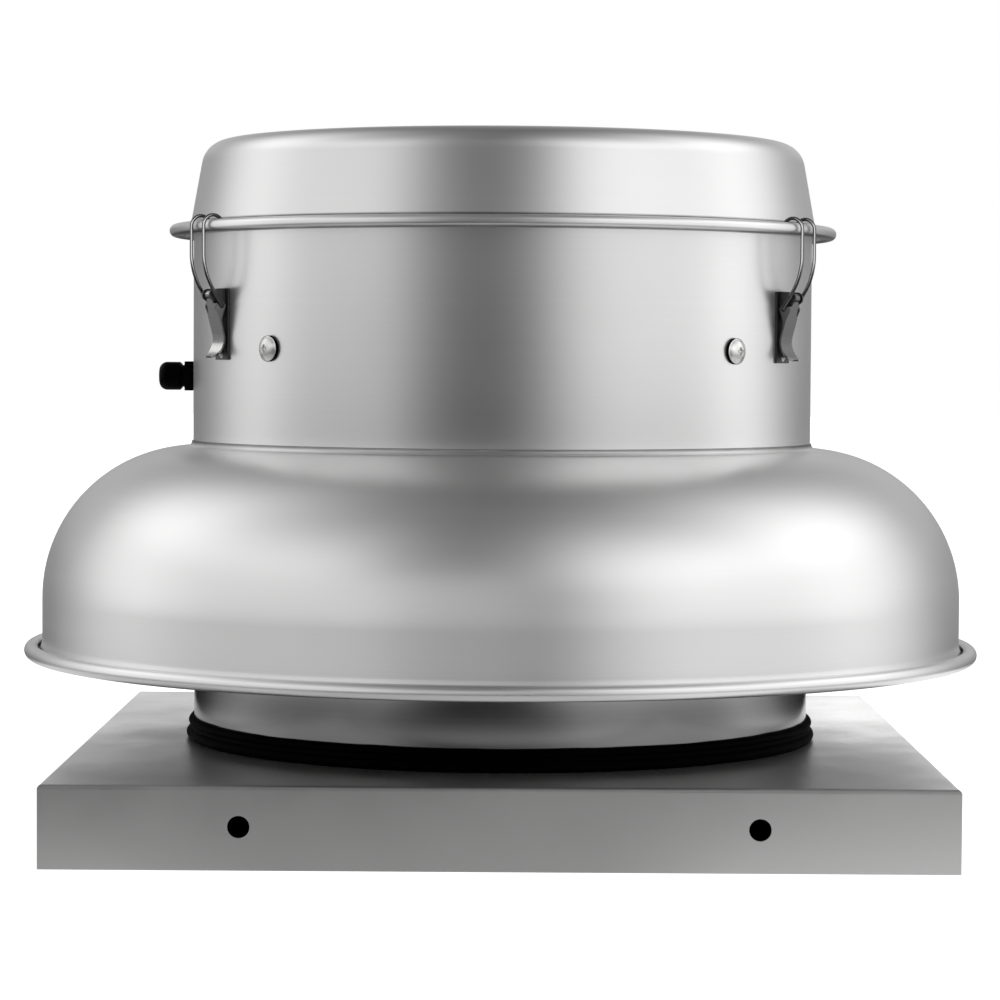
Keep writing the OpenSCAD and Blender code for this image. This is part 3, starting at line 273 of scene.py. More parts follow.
def room_sides_group():
    """Brightness of the studio by direction round the fan: 0 degrees is the camera's side."""
    tree, nodes, start, end = shader_group("room_sides", [], [("Side", "NodeSocketFloat")])
    way = tree.interface.new_socket("Direction", in_out="INPUT", socket_type="NodeSocketVector")
    x, y, z = nodes.add("ShaderNodeSeparateXYZ", {0: start.outputs[way.name]}).outputs
    turn = nodes.math("ARCTAN2", x, nodes.math("MULTIPLY", y, -1.0))
    turn = nodes.math("MULTIPLY", turn, span_of(nodes, z, 0.0, 0.6, 1.0, 0.86))
    nodes.put(end.inputs["Side"], nodes.ramp(turn, 180, SIDE_STOPS))
    return tree


def shared_group(name, make):
    return bpy.data.node_groups.get(name) or make()


def span_of(nodes, value, low, high, low_out, high_out):
    node = nodes.add(
        "ShaderNodeMapRange",
        {"Value": value, "From Min": low, "From Max": high, "To Min": low_out, "To Max": high_out},
    )
    return node.outputs[0]


def tinted(nodes, factor, dark, light):
    """A colour between two, by a mask."""
    mix = nodes.add("ShaderNodeMix", data_type="RGBA")
    nodes.put(mix.inputs[0], factor)
    for socket, shade in ((mix.inputs[6], dark), (mix.inputs[7], light)):
        nodes.put(socket, (*shade, 1) if isinstance(shade, tuple) else shade)
    return mix.outputs[2]


def shade_of(shade, factor):
    return tuple(min(1.0, c * factor) for c in shade)


def new_material(name):
    """The material of that name, with its helper and shader if it is new. The CAD keeps its own."""
    own = "fan_" + name
    material = bpy.data.materials.get(own)
    if material:
        return material, None, None
    material = bpy.data.materials.new(own)
    material.use_nodes = True
    nodes = Nodes(material.node_tree)
    return material, nodes, material.node_tree.nodes["Principled BSDF"]


def spun_metal(name, shade, roughness, lines=900.0, depth=0.05, seams=(), metallic=1.0):
    """Satin metal with the fine rings of the spinning tool and painted shade in its seams."""
    material, nodes, shader = new_material(name)
    if nodes:
        rings = nodes.add("ShaderNodeGroup", node_tree=shared_group("spinning_lines", spinning_lines_group))
        nodes.put(rings.inputs["Lines per metre"], lines)
        nodes.put(rings.inputs["Depth"], depth)
        grain = nodes.add("ShaderNodeGroup", node_tree=shared_group("surface_grain", grain_group))
        tint = tinted(nodes, rings.outputs["Mask"], shade_of(shade, 0.96), shade_of(shade, 1.03))
        for height, reach, least, deep in seams:
            values = {"Height": height, "Reach": reach, "Least radius": least, "Depth": deep}
            painted_shade = nodes.add("ShaderNodeGroup", node_tree=shared_group("seam_grime", seam_painted_shade_group))
            for label, value in values.items():
                nodes.put(painted_shade.inputs[label], value)
            # painted shade: each seam line darkens the colour towards a twentieth of it
            tint = tinted(nodes, painted_shade.outputs["Mask"], tint, shade_of(shade, 0.05))
        nodes.put(shader.inputs["Base Color"], tint)
        rough = nodes.math(
            "ADD",
            span_of(nodes, rings.outputs["Mask"], 0.2, 0.8, roughness - 0.02, roughness + 0.02),
            span_of(nodes, grain.outputs["Smudge"], 0.3, 0.7, -0.015, 0.015),
        )
        nodes.put(shader.inputs["Roughness"], rough)
        nodes.put(shader.inputs["Normal"], rings.outputs["Normal"])
        shader.inputs["Metallic"].default_value = metallic
    return material


def sheet_metal(name, shade, roughness, grain_scale, depth, metallic=1.0, spread=0.05):
    """Rolled, plated or cast metal."""
    material, nodes, shader = new_material(name)
    if nodes:
        grain = nodes.add("ShaderNodeGroup", node_tree=shared_group("surface_grain", grain_group))
        nodes.put(grain.inputs["Grain scale"], grain_scale)
        nodes.put(grain.inputs["Depth"], depth)
        tint = tinted(nodes, grain.outputs["Smudge"], shade_of(shade, 0.93), shade_of(shade, 1.05))
        nodes.put(shader.inputs["Base Color"], tint)
        rough = nodes.math(
            "ADD",
            span_of(nodes, grain.outputs["Smudge"], 0.3, 0.7, roughness - spread, roughness + spread),
            span_of(nodes, grain.outputs["Grain"], 0.3, 0.7, -0.03, 0.03),
        )
        nodes.put(shader.inputs["Roughness"], rough)
        nodes.put(shader.inputs["Normal"], grain.outputs["Normal"])
        shader.inputs["Metallic"].default_value = metallic
    return material


def moulded(name, shade, roughness, grain_scale, depth, shine=0.5):
    """Rubber or nylon: a fine moulded grain with dusty patches."""
    material, nodes, shader = new_material(name)
    if nodes:
        grain = nodes.add("ShaderNodeGroup", node_tree=shared_group("surface_grain", grain_group))
        nodes.put(grain.inputs["Grain scale"], grain_scale)
        nodes.put(grain.inputs["Depth"], depth)
        shader.inputs["Specular IOR Level"].default_value = shine
        tint = tinted(nodes, grain.outputs["Smudge"], shade, shade_of(shade, 1.7))
        nodes.put(shader.inputs["Base Color"], tint)
        nodes.put(
            shader.inputs["Roughness"],
            span_of(nodes, grain.outputs["Smudge"], 0.3, 0.7, roughness - 0.08, roughness + 0.08),
        )
        nodes.put(shader.inputs["Normal"], grain.outputs["Normal"])
    return material


def finish(kind):
    """The finish of that name, made once."""
    colours = bpy.context.scene.fan_finishes
    aluminium, steel, zinc = tuple(colours.aluminium), tuple(colours.steel), tuple(colours.zinc)
    black = shade_of(tuple(colours.black), 0.08)
    # Painted shade lines: in the crevice above the cap's bead and under the bead; the dome's is at the drum's
    # foot
    bead_seams = ((0.3221, 0.001, 0.165, 0.95), (0.3153, 0.0012, 0.174, 0.8))
    maker, *values = {
        "spun_aluminium": (spun_metal, aluminium, 0.33, 900.0, 0.05, bead_seams, 0.9),
        "dome_aluminium": (spun_metal, aluminium, 0.36, 900.0, 0.05, ((0.2036, 0.0022, 0.169, 0.8),)),
        # Painted shade: the collar is the same aluminium, darkened because it sits in the shroud's shade
        "collar_aluminium": (spun_metal, shade_of(aluminium, 0.44), 0.2),
        "inner_aluminium": (spun_metal, shade_of(aluminium, 0.9), 0.42, 500.0, 0.12),
        "curb_sheet": (sheet_metal, tuple(colours.base_metal), 0.38, 500.0, 0.03, 0.9),
        # Painted shade: levers, wires and bracket plates are one stainless steel, darkened to stand for the
        # dark reflections and shade they show
        "latch_steel": (sheet_metal, shade_of(steel, 0.48), 0.26, 1600.0, 0.004),
        "wire_steel": (sheet_metal, shade_of(steel, 0.2), 0.12, 1600.0, 0.01, 1.0, 0.02),
        "bracket_steel": (sheet_metal, shade_of(steel, 0.2), 0.4, 1600.0, 0.03),
        "screw_steel": (sheet_metal, shade_of(steel, 1.4), 0.36, 1800.0, 0.01),
        "bright_zinc": (sheet_metal, zinc, 0.34, 260.0, 0.05),
        "cast_aluminium": (sheet_metal, shade_of(aluminium, 0.75), 0.55, 900.0, 0.35),
        "core_steel": (sheet_metal, (0.16, 0.16, 0.17), 0.5, 2200.0, 0.4),
        "ground_steel": (sheet_metal, (0.68, 0.68, 0.68), 0.2, 2500.0, 0.05),
        "grey_paint": (sheet_metal, (0.10, 0.105, 0.11), 0.42, 900.0, 0.12, 0.0),
        "can_white": (moulded, (0.55, 0.55, 0.53), 0.35, 600.0, 0.05),
        "black_rubber": (moulded, black, 0.62, 1500.0, 0.15, 0.02),
        "black_nylon": (moulded, black, 0.3, 2200.0, 0.06, 0.03),
    }[kind]
    return maker(kind, *values)


# Mesh helpers


def mesh_piece(name, verts, faces, material, body=HOUSING, sharp=32.0):
    """A plain mesh piece in the row frame, smooth but for its sharp edges, that rides on a body."""
    mesh = bpy.data.meshes.new(name)
    mesh.from_pydata([tuple(v) for v in verts], [], faces)
    mesh.update()
    return dress(bpy.data.objects.new(name, mesh), material, body, sharp)


def dress(piece, material, body=HOUSING, sharp=32.0):
    if piece.name not in bpy.context.scene.collection.objects:
        bpy.context.scene.collection.objects.link(piece)
    mesh = piece.data
    mesh.materials.clear()
    mesh.materials.append(finish(material))
    mesh.shade_smooth()
    mesh.set_sharp_from_angle(angle=math.radians(sharp))
    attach(piece, body)
    return piece


def arc(centre, radius, start, stop, steps):
    """Points on an arc, in degrees, in the profile's plane."""
    return [
        (centre[0] + radius * math.cos(math.radians(a)), centre[1] + radius * math.sin(math.radians(a)))
        for a in (start + (stop - start) * i / steps for i in range(steps + 1))
    ]


def joined(*runs):
    """One path from several, without the doubled points where they meet."""
    path = []
    for point in (p for run in runs for p in run):
        if not path or math.dist(path[-1], point) > 1e-6:
            path.append(point)
    return path


def sheet_section(path, thickness):
    """The closed outline of a sheet whose middle follows a path."""
    left, right = [], []
    for i, (r, z) in enumerate(path):
        before, after = path[max(i - 1, 0)], path[min(i + 1, len(path) - 1)]
        dr, dz = after[0] - before[0], after[1] - before[1]
        length = math.hypot(dr, dz)
        nr, nz = -dz / length * thickness / 2, dr / length * thickness / 2
        left.append((r + nr, z + nz))
        right.append((r - nr, z - nz))
    return left + right[::-1]


def rounded(outline, radius, steps=3):
    """A closed outline with its corners rounded."""
    result = []
    count = len(outline)
    for i, point in enumerate(outline):
        here = Vector(point)
        to_last, to_next = Vector(outline[i - 1]) - here, Vector(outline[(i + 1) % count]) - here
        reach = min(radius, 0.45 * to_last.length, 0.45 * to_next.length)
        a, b = here + to_last.normalized() * reach, here + to_next.normalized() * reach
        for k in range(steps + 1):
            t = k / steps
            result.append(tuple(a * (1 - t) ** 2 + here * 2 * t * (1 - t) + b * t * t))
    return result


def lathe(name, outline, material, body=HOUSING, segments=None, sharp=32.0, wobble=None):
    """A closed outline of radius and height, turned about the wheel's axis. Points at radius 0 are poles."""
    segments = segments or bpy.context.scene.fan_shells.segments
    area = sum(a[0] * b[1] - b[0] * a[1] for a, b in zip(outline, outline[1:] + outline[:1]))
    if area > 0:
        outline = outline[::-1]
    verts, rows = [], []
    for r, z in outline:
        if r < 1e-7:
            rows.append([len(verts)] * segments)
            verts.append((0.0, 0.0, z))
            continue
        rows.append(list(range(len(verts), len(verts) + segments)))
        for i in range(segments):
            a = TURN * i / segments
            r_here, z_here = wobble(r, z, a) if wobble else (r, z)
            verts.append((r_here * math.cos(a), r_here * math.sin(a), z_here))
    faces = []
    for low, high in zip(rows, rows[1:] + rows[:1]):
        if low[0] == low[1] and high[0] == high[1]:
            continue
        for i in range(segments):
            j = (i + 1) % segments
            face = [low[i], low[j], high[j], high[i]]
            faces.append([v for k, v in enumerate(face) if v != face[k - 1]])
    return mesh_piece(name, verts, faces, material, body, sharp)


def geometry_tree(name, inputs):
    """A new Geometry Nodes tree with named inputs, and its helper and its two end nodes."""
    tree = bpy.data.node_groups.new(name, "GeometryNodeTree")
    tree.interface.new_socket("Geometry", in_out="INPUT", socket_type="NodeSocketGeometry")
    for label, kind in inputs:
        tree.interface.new_socket(label, in_out="INPUT", socket_type=kind)
    tree.interface.new_socket("Geometry", in_out="OUTPUT", socket_type="NodeSocketGeometry")
    nodes = Nodes(tree)
    return tree, nodes, nodes.add("NodeGroupInput"), nodes.add("NodeGroupOutput")


def end_tree(nodes, geometry, material, end):
    """Realizes the instances, makes the faces smooth and gives them the material."""
    real = nodes.add("GeometryNodeRealizeInstances", {0: geometry}).outputs[0]
    smooth = nodes.add("GeometryNodeSetShadeSmooth", {0: real}).outputs[0]
    finished = nodes.add("GeometryNodeSetMaterial", {0: smooth, "Material": material}).outputs[0]
    nodes.put(end.inputs[0], finished)


def ring_tree():
    """Copies of a piece at even steps round the wheel's axis."""
    tree, nodes, start, end = geometry_tree(
        "ring_of_pieces",
        [
            ("Piece", "NodeSocketObject"),
            ("Count", "NodeSocketInt"),
            ("First angle", "NodeSocketFloat"),
            ("Material", "NodeSocketMaterial"),
        ],
    )
    of = start.outputs
    step = nodes.math("DIVIDE", TURN, of["Count"])
    index = nodes.add("GeometryNodeInputIndex").outputs[0]
    angle = nodes.math("ADD", of["First angle"], nodes.math("MULTIPLY", index, step))
    turned = nodes.add("ShaderNodeCombineXYZ", {2: angle}).outputs[0]
    points = nodes.add("GeometryNodePoints", {"Count": of["Count"]}).outputs[0]
    piece = nodes.add("GeometryNodeObjectInfo", {"Object": of["Piece"]}).outputs["Geometry"]
    copies = nodes.add(
        "GeometryNodeInstanceOnPoints", {"Points": points, "Instance": piece, "Rotation": turned}
    ).outputs[0]
    end_tree(nodes, copies, of["Material"], end)
    return tree


def wire_tree():
    """A round wire that follows the edges of a mesh."""
    tree, nodes, start, end = geometry_tree(
        "wire_on_path",
        [("Radius", "NodeSocketFloat"), ("Sides", "NodeSocketInt"), ("Material", "NodeSocketMaterial")],
    )
    of = start.outputs
    path = nodes.add("GeometryNodeMeshToCurve", {0: of["Geometry"]}).outputs[0]
    round_of = {"Resolution": of["Sides"], "Radius": of["Radius"]}
    circle = nodes.add("GeometryNodeCurvePrimitiveCircle", round_of).outputs[0]
    wire_of = {"Curve": path, "Profile Curve": circle, "Fill Caps": True}
    wire = nodes.add("GeometryNodeCurveToMesh", wire_of).outputs[0]
    end_tree(nodes, wire, of["Material"], end)
    return tree


def grown(name, tree, values, seed=None):
    """The plain mesh that a Geometry Nodes tree makes from a seed mesh and its named inputs."""
    seed = seed or bpy.data.meshes.new(name + "_seed")
    holder = bpy.data.objects.new(name + "_seed", seed)
    bpy.context.scene.collection.objects.link(holder)
    modifier = holder.modifiers.new("tree", "NODES")
    modifier.node_group = tree
    sockets = {item.name: item.identifier for item in tree.interface.items_tree if item.in_out == "INPUT"}
    for label, value in values.items():
        modifier[sockets[label]] = value
    graph = bpy.context.evaluated_depsgraph_get()
    mesh = bpy.data.meshes.new_from_object(holder.evaluated_get(graph), depsgraph=graph)
    holder.modifiers.remove(modifier)
    bpy.data.objects.remove(holder)
    bpy.data.meshes.remove(seed)
    mesh.name = name
    return mesh


def ring_of(name, piece_mesh, count, first_degrees, material, body=HOUSING, sharp=32.0):
    """A piece's mesh repeated round the wheel's axis, as one piece that rides on a body."""
    pattern = bpy.data.objects.new(name + "_pattern", piece_mesh)
    values = {
        "Piece": pattern,
        "Count": count,
        "First angle": math.radians(first_degrees),
        "Material": finish(material),
    }
    mesh = grown(name, shared_group("ring_of_pieces", ring_tree), values)
    bpy.data.objects.remove(pattern)
    bpy.data.meshes.remove(piece_mesh)
    return dress(bpy.data.objects.new(name, mesh), material, body, sharp)


def turned_about_x(name, rows, steps, seat, height):
    """A mesh turned about a line that points away from the drum, from rows of radius and distance out."""
    verts, bands = [], []
    for radius, out in rows:
        if radius < 1e-7:
            bands.append([len(verts)] * steps)
            verts.append((seat + (out(0.0) if callable(out) else out), 0.0, height))
            continue
        bands.append(list(range(len(verts), len(verts) + steps)))
        for i in range(steps):
            a = TURN * i / steps
            away = out(a) if callable(out) else out
            verts.append((seat + away, radius * math.cos(a), height + radius * math.sin(a)))
    faces = []
    for low, high in zip(bands, bands[1:]):
        for i in range(steps):
            j = (i + 1) % steps
            face = [low[i], high[i], high[j], low[j]]
            faces.append([v for k, v in enumerate(face) if v != face[k - 1]])
    mesh = bpy.data.meshes.new(name)
    mesh.from_pydata(verts, [], faces)
    mesh.update()
    return mesh


def eased_copy(node, name, material, body=HOUSING, width=0.15 * MM, sharp=30.0, bevel=True):
    """A copy of a CAD node with merged points, whose sharp edges are eased, and which stands for it."""
    mesh = frame["nodes"][node].data.copy()
    mesh.name = name
    work = bmesh.new()
    work.from_mesh(mesh)
    bmesh.ops.remove_doubles(work, verts=work.verts, dist=1e-6)
    if bevel:
        bmesh.ops.dissolve_limit(work, angle_limit=math.radians(0.6), verts=work.verts, edges=work.edges)
        edges = [
            e for e in work.edges if len(e.link_faces) == 2 and e.calc_face_angle(0.0) > math.radians(sharp)
        ]
        bmesh.ops.bevel(
            work, geom=edges, offset=width, segments=2, profile=0.5, affect="EDGES", clamp_overlap=True
        )
        bmesh.ops.remove_doubles(work, verts=work.verts, dist=1e-7)
    work.to_mesh(mesh)
    work.free()
    piece = dress(bpy.data.objects.new(name, mesh), material, body, sharp)
    if bevel:
        mesh.set_sharp_from_angle(angle=math.radians(80))
        flats = piece.modifiers.new("flat_faces", "WEIGHTED_NORMAL")
        flats.keep_sharp = True
        flats.weight = 60
    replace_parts(piece, node)
    return piece


# Pieces


class FAN_OT_spun_shells(bpy.types.Operator):
    """Build the shroud, drum, cap and collar as smooth spun shells"""

    bl_idname = "roof_fan.spun_shells"
    bl_label = "Spun shells"

    def execute(self, context):
        s = context.scene.fan_shells
        t, thin = s.sheet, s.thin_sheet

        # Shroud: fillet, dome, skirt, flare and rolled rim
        shoulder_z, shoulder_top, fillet = 119 * MM, 203.906 * MM, 3 * MM
        dome_c = (s.skirt_radius - s.dome_radius, shoulder_z)
        fillet_c = (173 * MM, shoulder_top)
        fillet_turn = 87.303
        rim_c = (s.skirt_radius + 5.8 * MM, 90.4 * MM)
        rim_mid, skirt_mid, rim_turn = s.rim_radius - t / 2, s.skirt_radius - t / 2, 60
        meet = (
            rim_c[0] - rim_mid * math.cos(math.radians(rim_turn)),
            rim_c[1] - rim_mid * math.sin(math.radians(rim_turn)),
        )
        flare_r = (meet[0] - skirt_mid) / (1 - math.cos(math.radians(rim_turn)))
        flare_c = (skirt_mid + flare_r, meet[1] + flare_r * math.sin(math.radians(rim_turn)))
        path = joined(
            arc(fillet_c, fillet + t / 2, 180, 180 + fillet_turn, 10),
            arc(dome_c, s.dome_radius - t / 2, fillet_turn, 0, 40),
            [(skirt_mid, flare_c[1])],
            arc(flare_c, flare_r, 180, 180 + rim_turn, 10),
            arc(rim_c, rim_mid, 180 + rim_turn, 360 + 145, 28),
        )
        shroud = lathe("spun_shroud", sheet_section(path, t), "dome_aluminium")
        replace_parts(shroud, "shroud")

        # Drum, with its flange on the motor plate, its shoulder on the shroud and its lip under the cap
        neck, drum = 168.2 * MM, s.drum_radius
        plate_top, drum_top = 199 * MM, 316.506 * MM
        lip = drum + 5.2 * MM
        outline = [
            (neck - 18 * MM, plate_top),
            (neck, plate_top),
            (neck, shoulder_top),
            (drum, shoulder_top),
            (drum, drum_top - thin),
            (lip, drum_top - thin),
            (lip, drum_top),
            (drum - thin, drum_top),
            (drum - thin, shoulder_top + thin),
            (neck - thin, shoulder_top + thin),
            (neck - thin, plate_top + thin),
            (neck - 18 * MM, plate_top + thin),
        ]
        drum_shell = lathe("motor_drum_shell", rounded(outline, 0.5 * MM), "spun_aluminium")
        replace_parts(drum_shell, "motor_drum")

        # Cap: crown, corner, leaning wall, brim and rolled bead
        lean, corner, crown_rise = 10.2, 14 * MM, 3 * MM
        brim_top = drum_top + thin
        edge_z = brim_top + 49.3 * MM
        corner_z = edge_z - corner
        foot = drum + 2.3 * MM
        cos_lean, tan_lean = math.cos(math.radians(lean)), math.tan(math.radians(lean))
        corner_r = foot - (corner_z - brim_top) * tan_lean - corner / cos_lean
        crown_r = (corner_r**2 / crown_rise + 2 * corner + crown_rise) / 2
        crown_c = (0.0, edge_z + crown_rise - crown_r)
        crown_half = math.degrees(math.asin(corner_r / (crown_r - corner)))
        fillet_c = (foot - 1.5 * MM * tan_lean + 1.5 * MM / cos_lean, brim_top + 1.5 * MM)
        bead_c, bead_mid = (drum + 9.9 * MM, drum_top + thin + 0.3 * MM), s.bead_radius - thin / 2
        bead_start = 180 + math.degrees(math.asin((bead_c[1] - brim_top + thin / 2) / bead_mid))
        path = joined(
            arc(crown_c, crown_r - thin / 2, 90, 90 - crown_half, 24),
            arc((corner_r, corner_z), corner - thin / 2, 90 - crown_half, lean, 14),
            arc(fillet_c, 1.5 * MM + thin / 2, 180 + lean, 270, 6),
            arc(bead_c, bead_mid, bead_start, 360 + 165, 28),
        )
        outline = sheet_section(path, thin)
        outline[0] = (0.0, outline[0][1])
        outline[-1] = (0.0, outline[-1][1])
        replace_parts(lathe("motor_cap_shell", outline, "spun_aluminium"), "motor_cap")

        # Inlet collar with its two inward flanges, in aluminium darkened as painted shade
        gasket_top, collar_top, wall_t = 44.5 * MM, 104 * MM, 1.5 * MM
        collar, opening = COLLAR_RADIUS, COLLAR_OPENING
        outline = [
            (opening, gasket_top),
            (collar, gasket_top),
            (collar, collar_top),
            (opening, collar_top),
            (opening, collar_top - wall_t),
            (collar - wall_t, collar_top - wall_t),
            (collar - wall_t, gasket_top + wall_t),
            (opening, gasket_top + wall_t),
        ]
        collar_shell = lathe("inlet_collar_shell", rounded(outline, 0.5 * MM), "collar_aluminium")
        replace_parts(collar_shell, "inlet_collar")
        return {"FINISHED"}


class FAN_OT_base(bpy.types.Operator):
    """Build the folded curb cap and the rubber gasket on it"""

    bl_idname = "roof_fan.base"
    bl_label = "Curb cap and gasket"

    def execute(self, context):
        eased_copy("curb_cap", "folded_curb_cap", "curb_sheet", width=0.6 * MM)
        base_top, sheet = 41.5 * MM, 3 * MM
        collar, opening = COLLAR_RADIUS, COLLAR_OPENING
        lows = arc((collar + 1.2 * MM, base_top + 3 * MM), 3 * MM, -90, 70, 12)
        tops = arc((collar + 0.6 * MM, base_top + 9.6 * MM), 2.4 * MM, -60, 150, 12)
        inner = collar + 0.1 * MM
        inside = [(inner, base_top + 10.5 * MM), (inner, base_top + sheet), (opening, base_top + sheet)]
        outline = joined([(opening, base_top)], lows, tops, inside)

        def wobble(r, z, a):
            if r < collar + 0.5 * MM or z < base_top + 0.2 * MM:
                return r, z
            wave = math.sin(9 * a + 0.7) + 0.6 * math.sin(23 * a + 2.1) + 0.4 * math.sin(41 * a)
            return r + 0.12 * MM * wave, z + 0.1 * MM * wave

        gasket = lathe("collar_gasket_ring", outline, "black_rubber", wobble=wobble)
        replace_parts(gasket, "collar_gasket")
        return {"FINISHED"}


class FAN_OT_latches(bpy.types.Operator):
    """Bend the latches' wire bails and ease the edges of their brackets and levers"""

    bl_idname = "roof_fan.latches"
    bl_label = "Draw latches"

    def execute(self, context):
        slot = "stainless_steel"
        for n, degrees in enumerate((-150, -30, 90), 1):
            eased_copy(f"latch_bracket_{n}", f"latch_plate_{n}", "bracket_steel")
            eased_copy(f"latch_pin_{n}", f"latch_pivot_{n}", "latch_steel")
            eased_copy(
                f"lever_{n}", f"latch_handle_{n}", "latch_steel", f"latch_lever_{n}", width=0.2 * MM
            )
            self.wire_bail(context.scene.fan_latches, n, math.radians(degrees), slot)
        return {"FINISHED"}

    def wire_bail(self, s, n, turn, slot):
        """One bail: a crossbar behind the bead, two hooks over it and two legs down to the lever."""
        hook_c = (178.7 * MM, 318.006 * MM)
        leg_low, link = 304.006 * MM, (173.0 * MM, 276.006 * MM)
        bend, short_run, flange_out, flange_in = 1.6 * MM, 0.3 * MM, 6.2 * MM, 5.2 * MM
        in_total, down_total = hook_c[0] + s.hook - link[0], leg_low - link[1]
        curve = (down_total * math.sin(s.lean) - in_total * math.cos(s.lean)) / (1 - math.cos(s.lean))
        curve_c = (hook_c[0] + s.hook - curve, leg_low)
        turn_degrees, lean_degrees = math.degrees(s.hook_turn), math.degrees(s.lean)
        leg = joined(arc(hook_c, s.hook, turn_degrees, 0, 28), arc(curve_c, curve, 0, -lean_degrees, 20))
        along = (math.cos(s.hook_turn - math.pi / 2), math.sin(s.hook_turn - math.pi / 2))
        bar = (leg[0][0] - (bend + short_run) * along[0], leg[0][1] - (bend + short_run) * along[1])
        half = s.half_width
        path = []
        for i in range(9):
            a = math.pi / 2 * i / 8
            out = bend * (1 - math.cos(a))
            path.append((bar[0] + out * along[0], half - bend + bend * math.sin(a), bar[1] + out * along[1]))
        path += [(r, half, z) for r, z in leg]
        down = (-math.sin(s.lean), -math.cos(s.lean))
        end_bend = half - flange_out
        for i in range(7):
            a = math.pi / 2 * i / 6
            short = end_bend * (1 - math.sin(a))
            side = half - end_bend * (1 - math.cos(a))
            path.append((link[0] - down[0] * short, side, link[1] - down[1] * short))
        path.append((link[0], flange_in, link[1]))
        path = [(x, -y, z) for x, y, z in reversed(path)] + path
        cos, sin = math.cos(turn), math.sin(turn)
        path = [(x * cos - y * sin, x * sin + y * cos, z) for x, y, z in path]
        seed = bpy.data.meshes.new(f"bail_path_{n}")
        seed.from_pydata(path, [(i, i + 1) for i in range(len(path) - 1)], [])
        values = {"Radius": s.wire, "Sides": 20, "Material": finish("wire_steel")}
        mesh = grown(f"latch_wire_{n}", shared_group("wire_on_path", wire_tree), values, seed)
        piece = dress(bpy.data.objects.new(mesh.name, mesh), "wire_steel", f"latch_bail_{n}", 50.0)
        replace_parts(piece, f"bail_{n}")


class FAN_OT_screws(bpy.types.Operator):
    """Turn the domed drum screws with their cross recesses and threads"""

    bl_idname = "roof_fan.screws"
    bl_label = "Drum screws"

    def execute(self, context):
        head_r, head_h = context.scene.fan_latches.screw_head, 3 * MM
        dome = (head_r**2 + head_h**2) / (2 * head_h)
        wing_half, wing_w, recess = 2.1 * MM, 0.6 * MM, 2.4 * MM
        seat = context.scene.fan_shells.drum_radius + 1.5 * MM
        height = 254.006 * MM
        crest, root, turns = 3 * MM, 2.5 * MM, 18

        def crowned(radius):
            def out(a):
                rise = math.sqrt(dome**2 - radius**2) - (dome - head_h)
                deep = 0.0
                for u, v in ((math.cos(a), math.sin(a)), (math.sin(a), math.cos(a))):
                    across, along = abs(v) * radius / wing_w, abs(u) * radius / wing_half
                    if across < 1.4 and along < 1:
                        wall = min(1.0, (1.4 - across) / 0.5)
                        deep = max(deep, wall * min(1.0, (1 - along) / 0.25) * (1 - 0.45 * along))
                return rise - recess * deep
            return out

        middle, lip = wing_half * 1.1, head_r - 0.12 * MM
        radii = [middle * i / 18 for i in range(19)]
        radii += [middle + (lip - middle) * i / 10 for i in range(1, 11)]
        rows = [(radius, crowned(radius)) for radius in radii]
        rows += [(head_r, 0.1 * MM), (head_r, 0.03 * MM), (head_r - 0.1 * MM, 0.0), (crest, 0.0)]
        for i in range(turns):
            rows += [(crest, (-1.0 - i) * MM + 0.05 * MM), (root, (-1.5 - i) * MM)]
        rows += [(crest, -19.0 * MM), (2.4 * MM, -19.5 * MM), (0.0, -19.5 * MM)]
        screw = turned_about_x("drum_screw_pattern", rows, 72, seat, height)
        ring = ring_of("drum_screw_heads", screw, 4, 45.0, "screw_steel", sharp=40.0)
        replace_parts(ring, "drum_screws")
        return {"FINISHED"}


class FAN_OT_finishes(bpy.types.Operator):
    """Give every CAD node that still shows the finish of its real material"""

    bl_idname = "roof_fan.finishes"
    bl_label = "Finishes of the other parts"

    def execute(self, context):
        by_slot = {
            "spun_aluminium": "inner_aluminium",
            "galvanised_steel": "bright_zinc",
            "plated_steel": "bright_zinc",
            "stainless_steel": "screw_steel",
            "black_rubber": "black_rubber",
            "black_nylon": "black_nylon",
            "cast_aluminium": "cast_aluminium",
            "lamination_steel": "core_steel",
            "bearing_steel": "ground_steel",
            "box_grey": "grey_paint",
            "capacitor_can": "can_white",
        }
        slots = {row["node"]: row["material_slot"] for row in frame["record"]["subparts"]}
        for name, node in frame["nodes"].items():
            node.data.materials.clear()
            node.data.materials.append(finish(by_slot[slots[name]]))
        return {"FINISHED"}


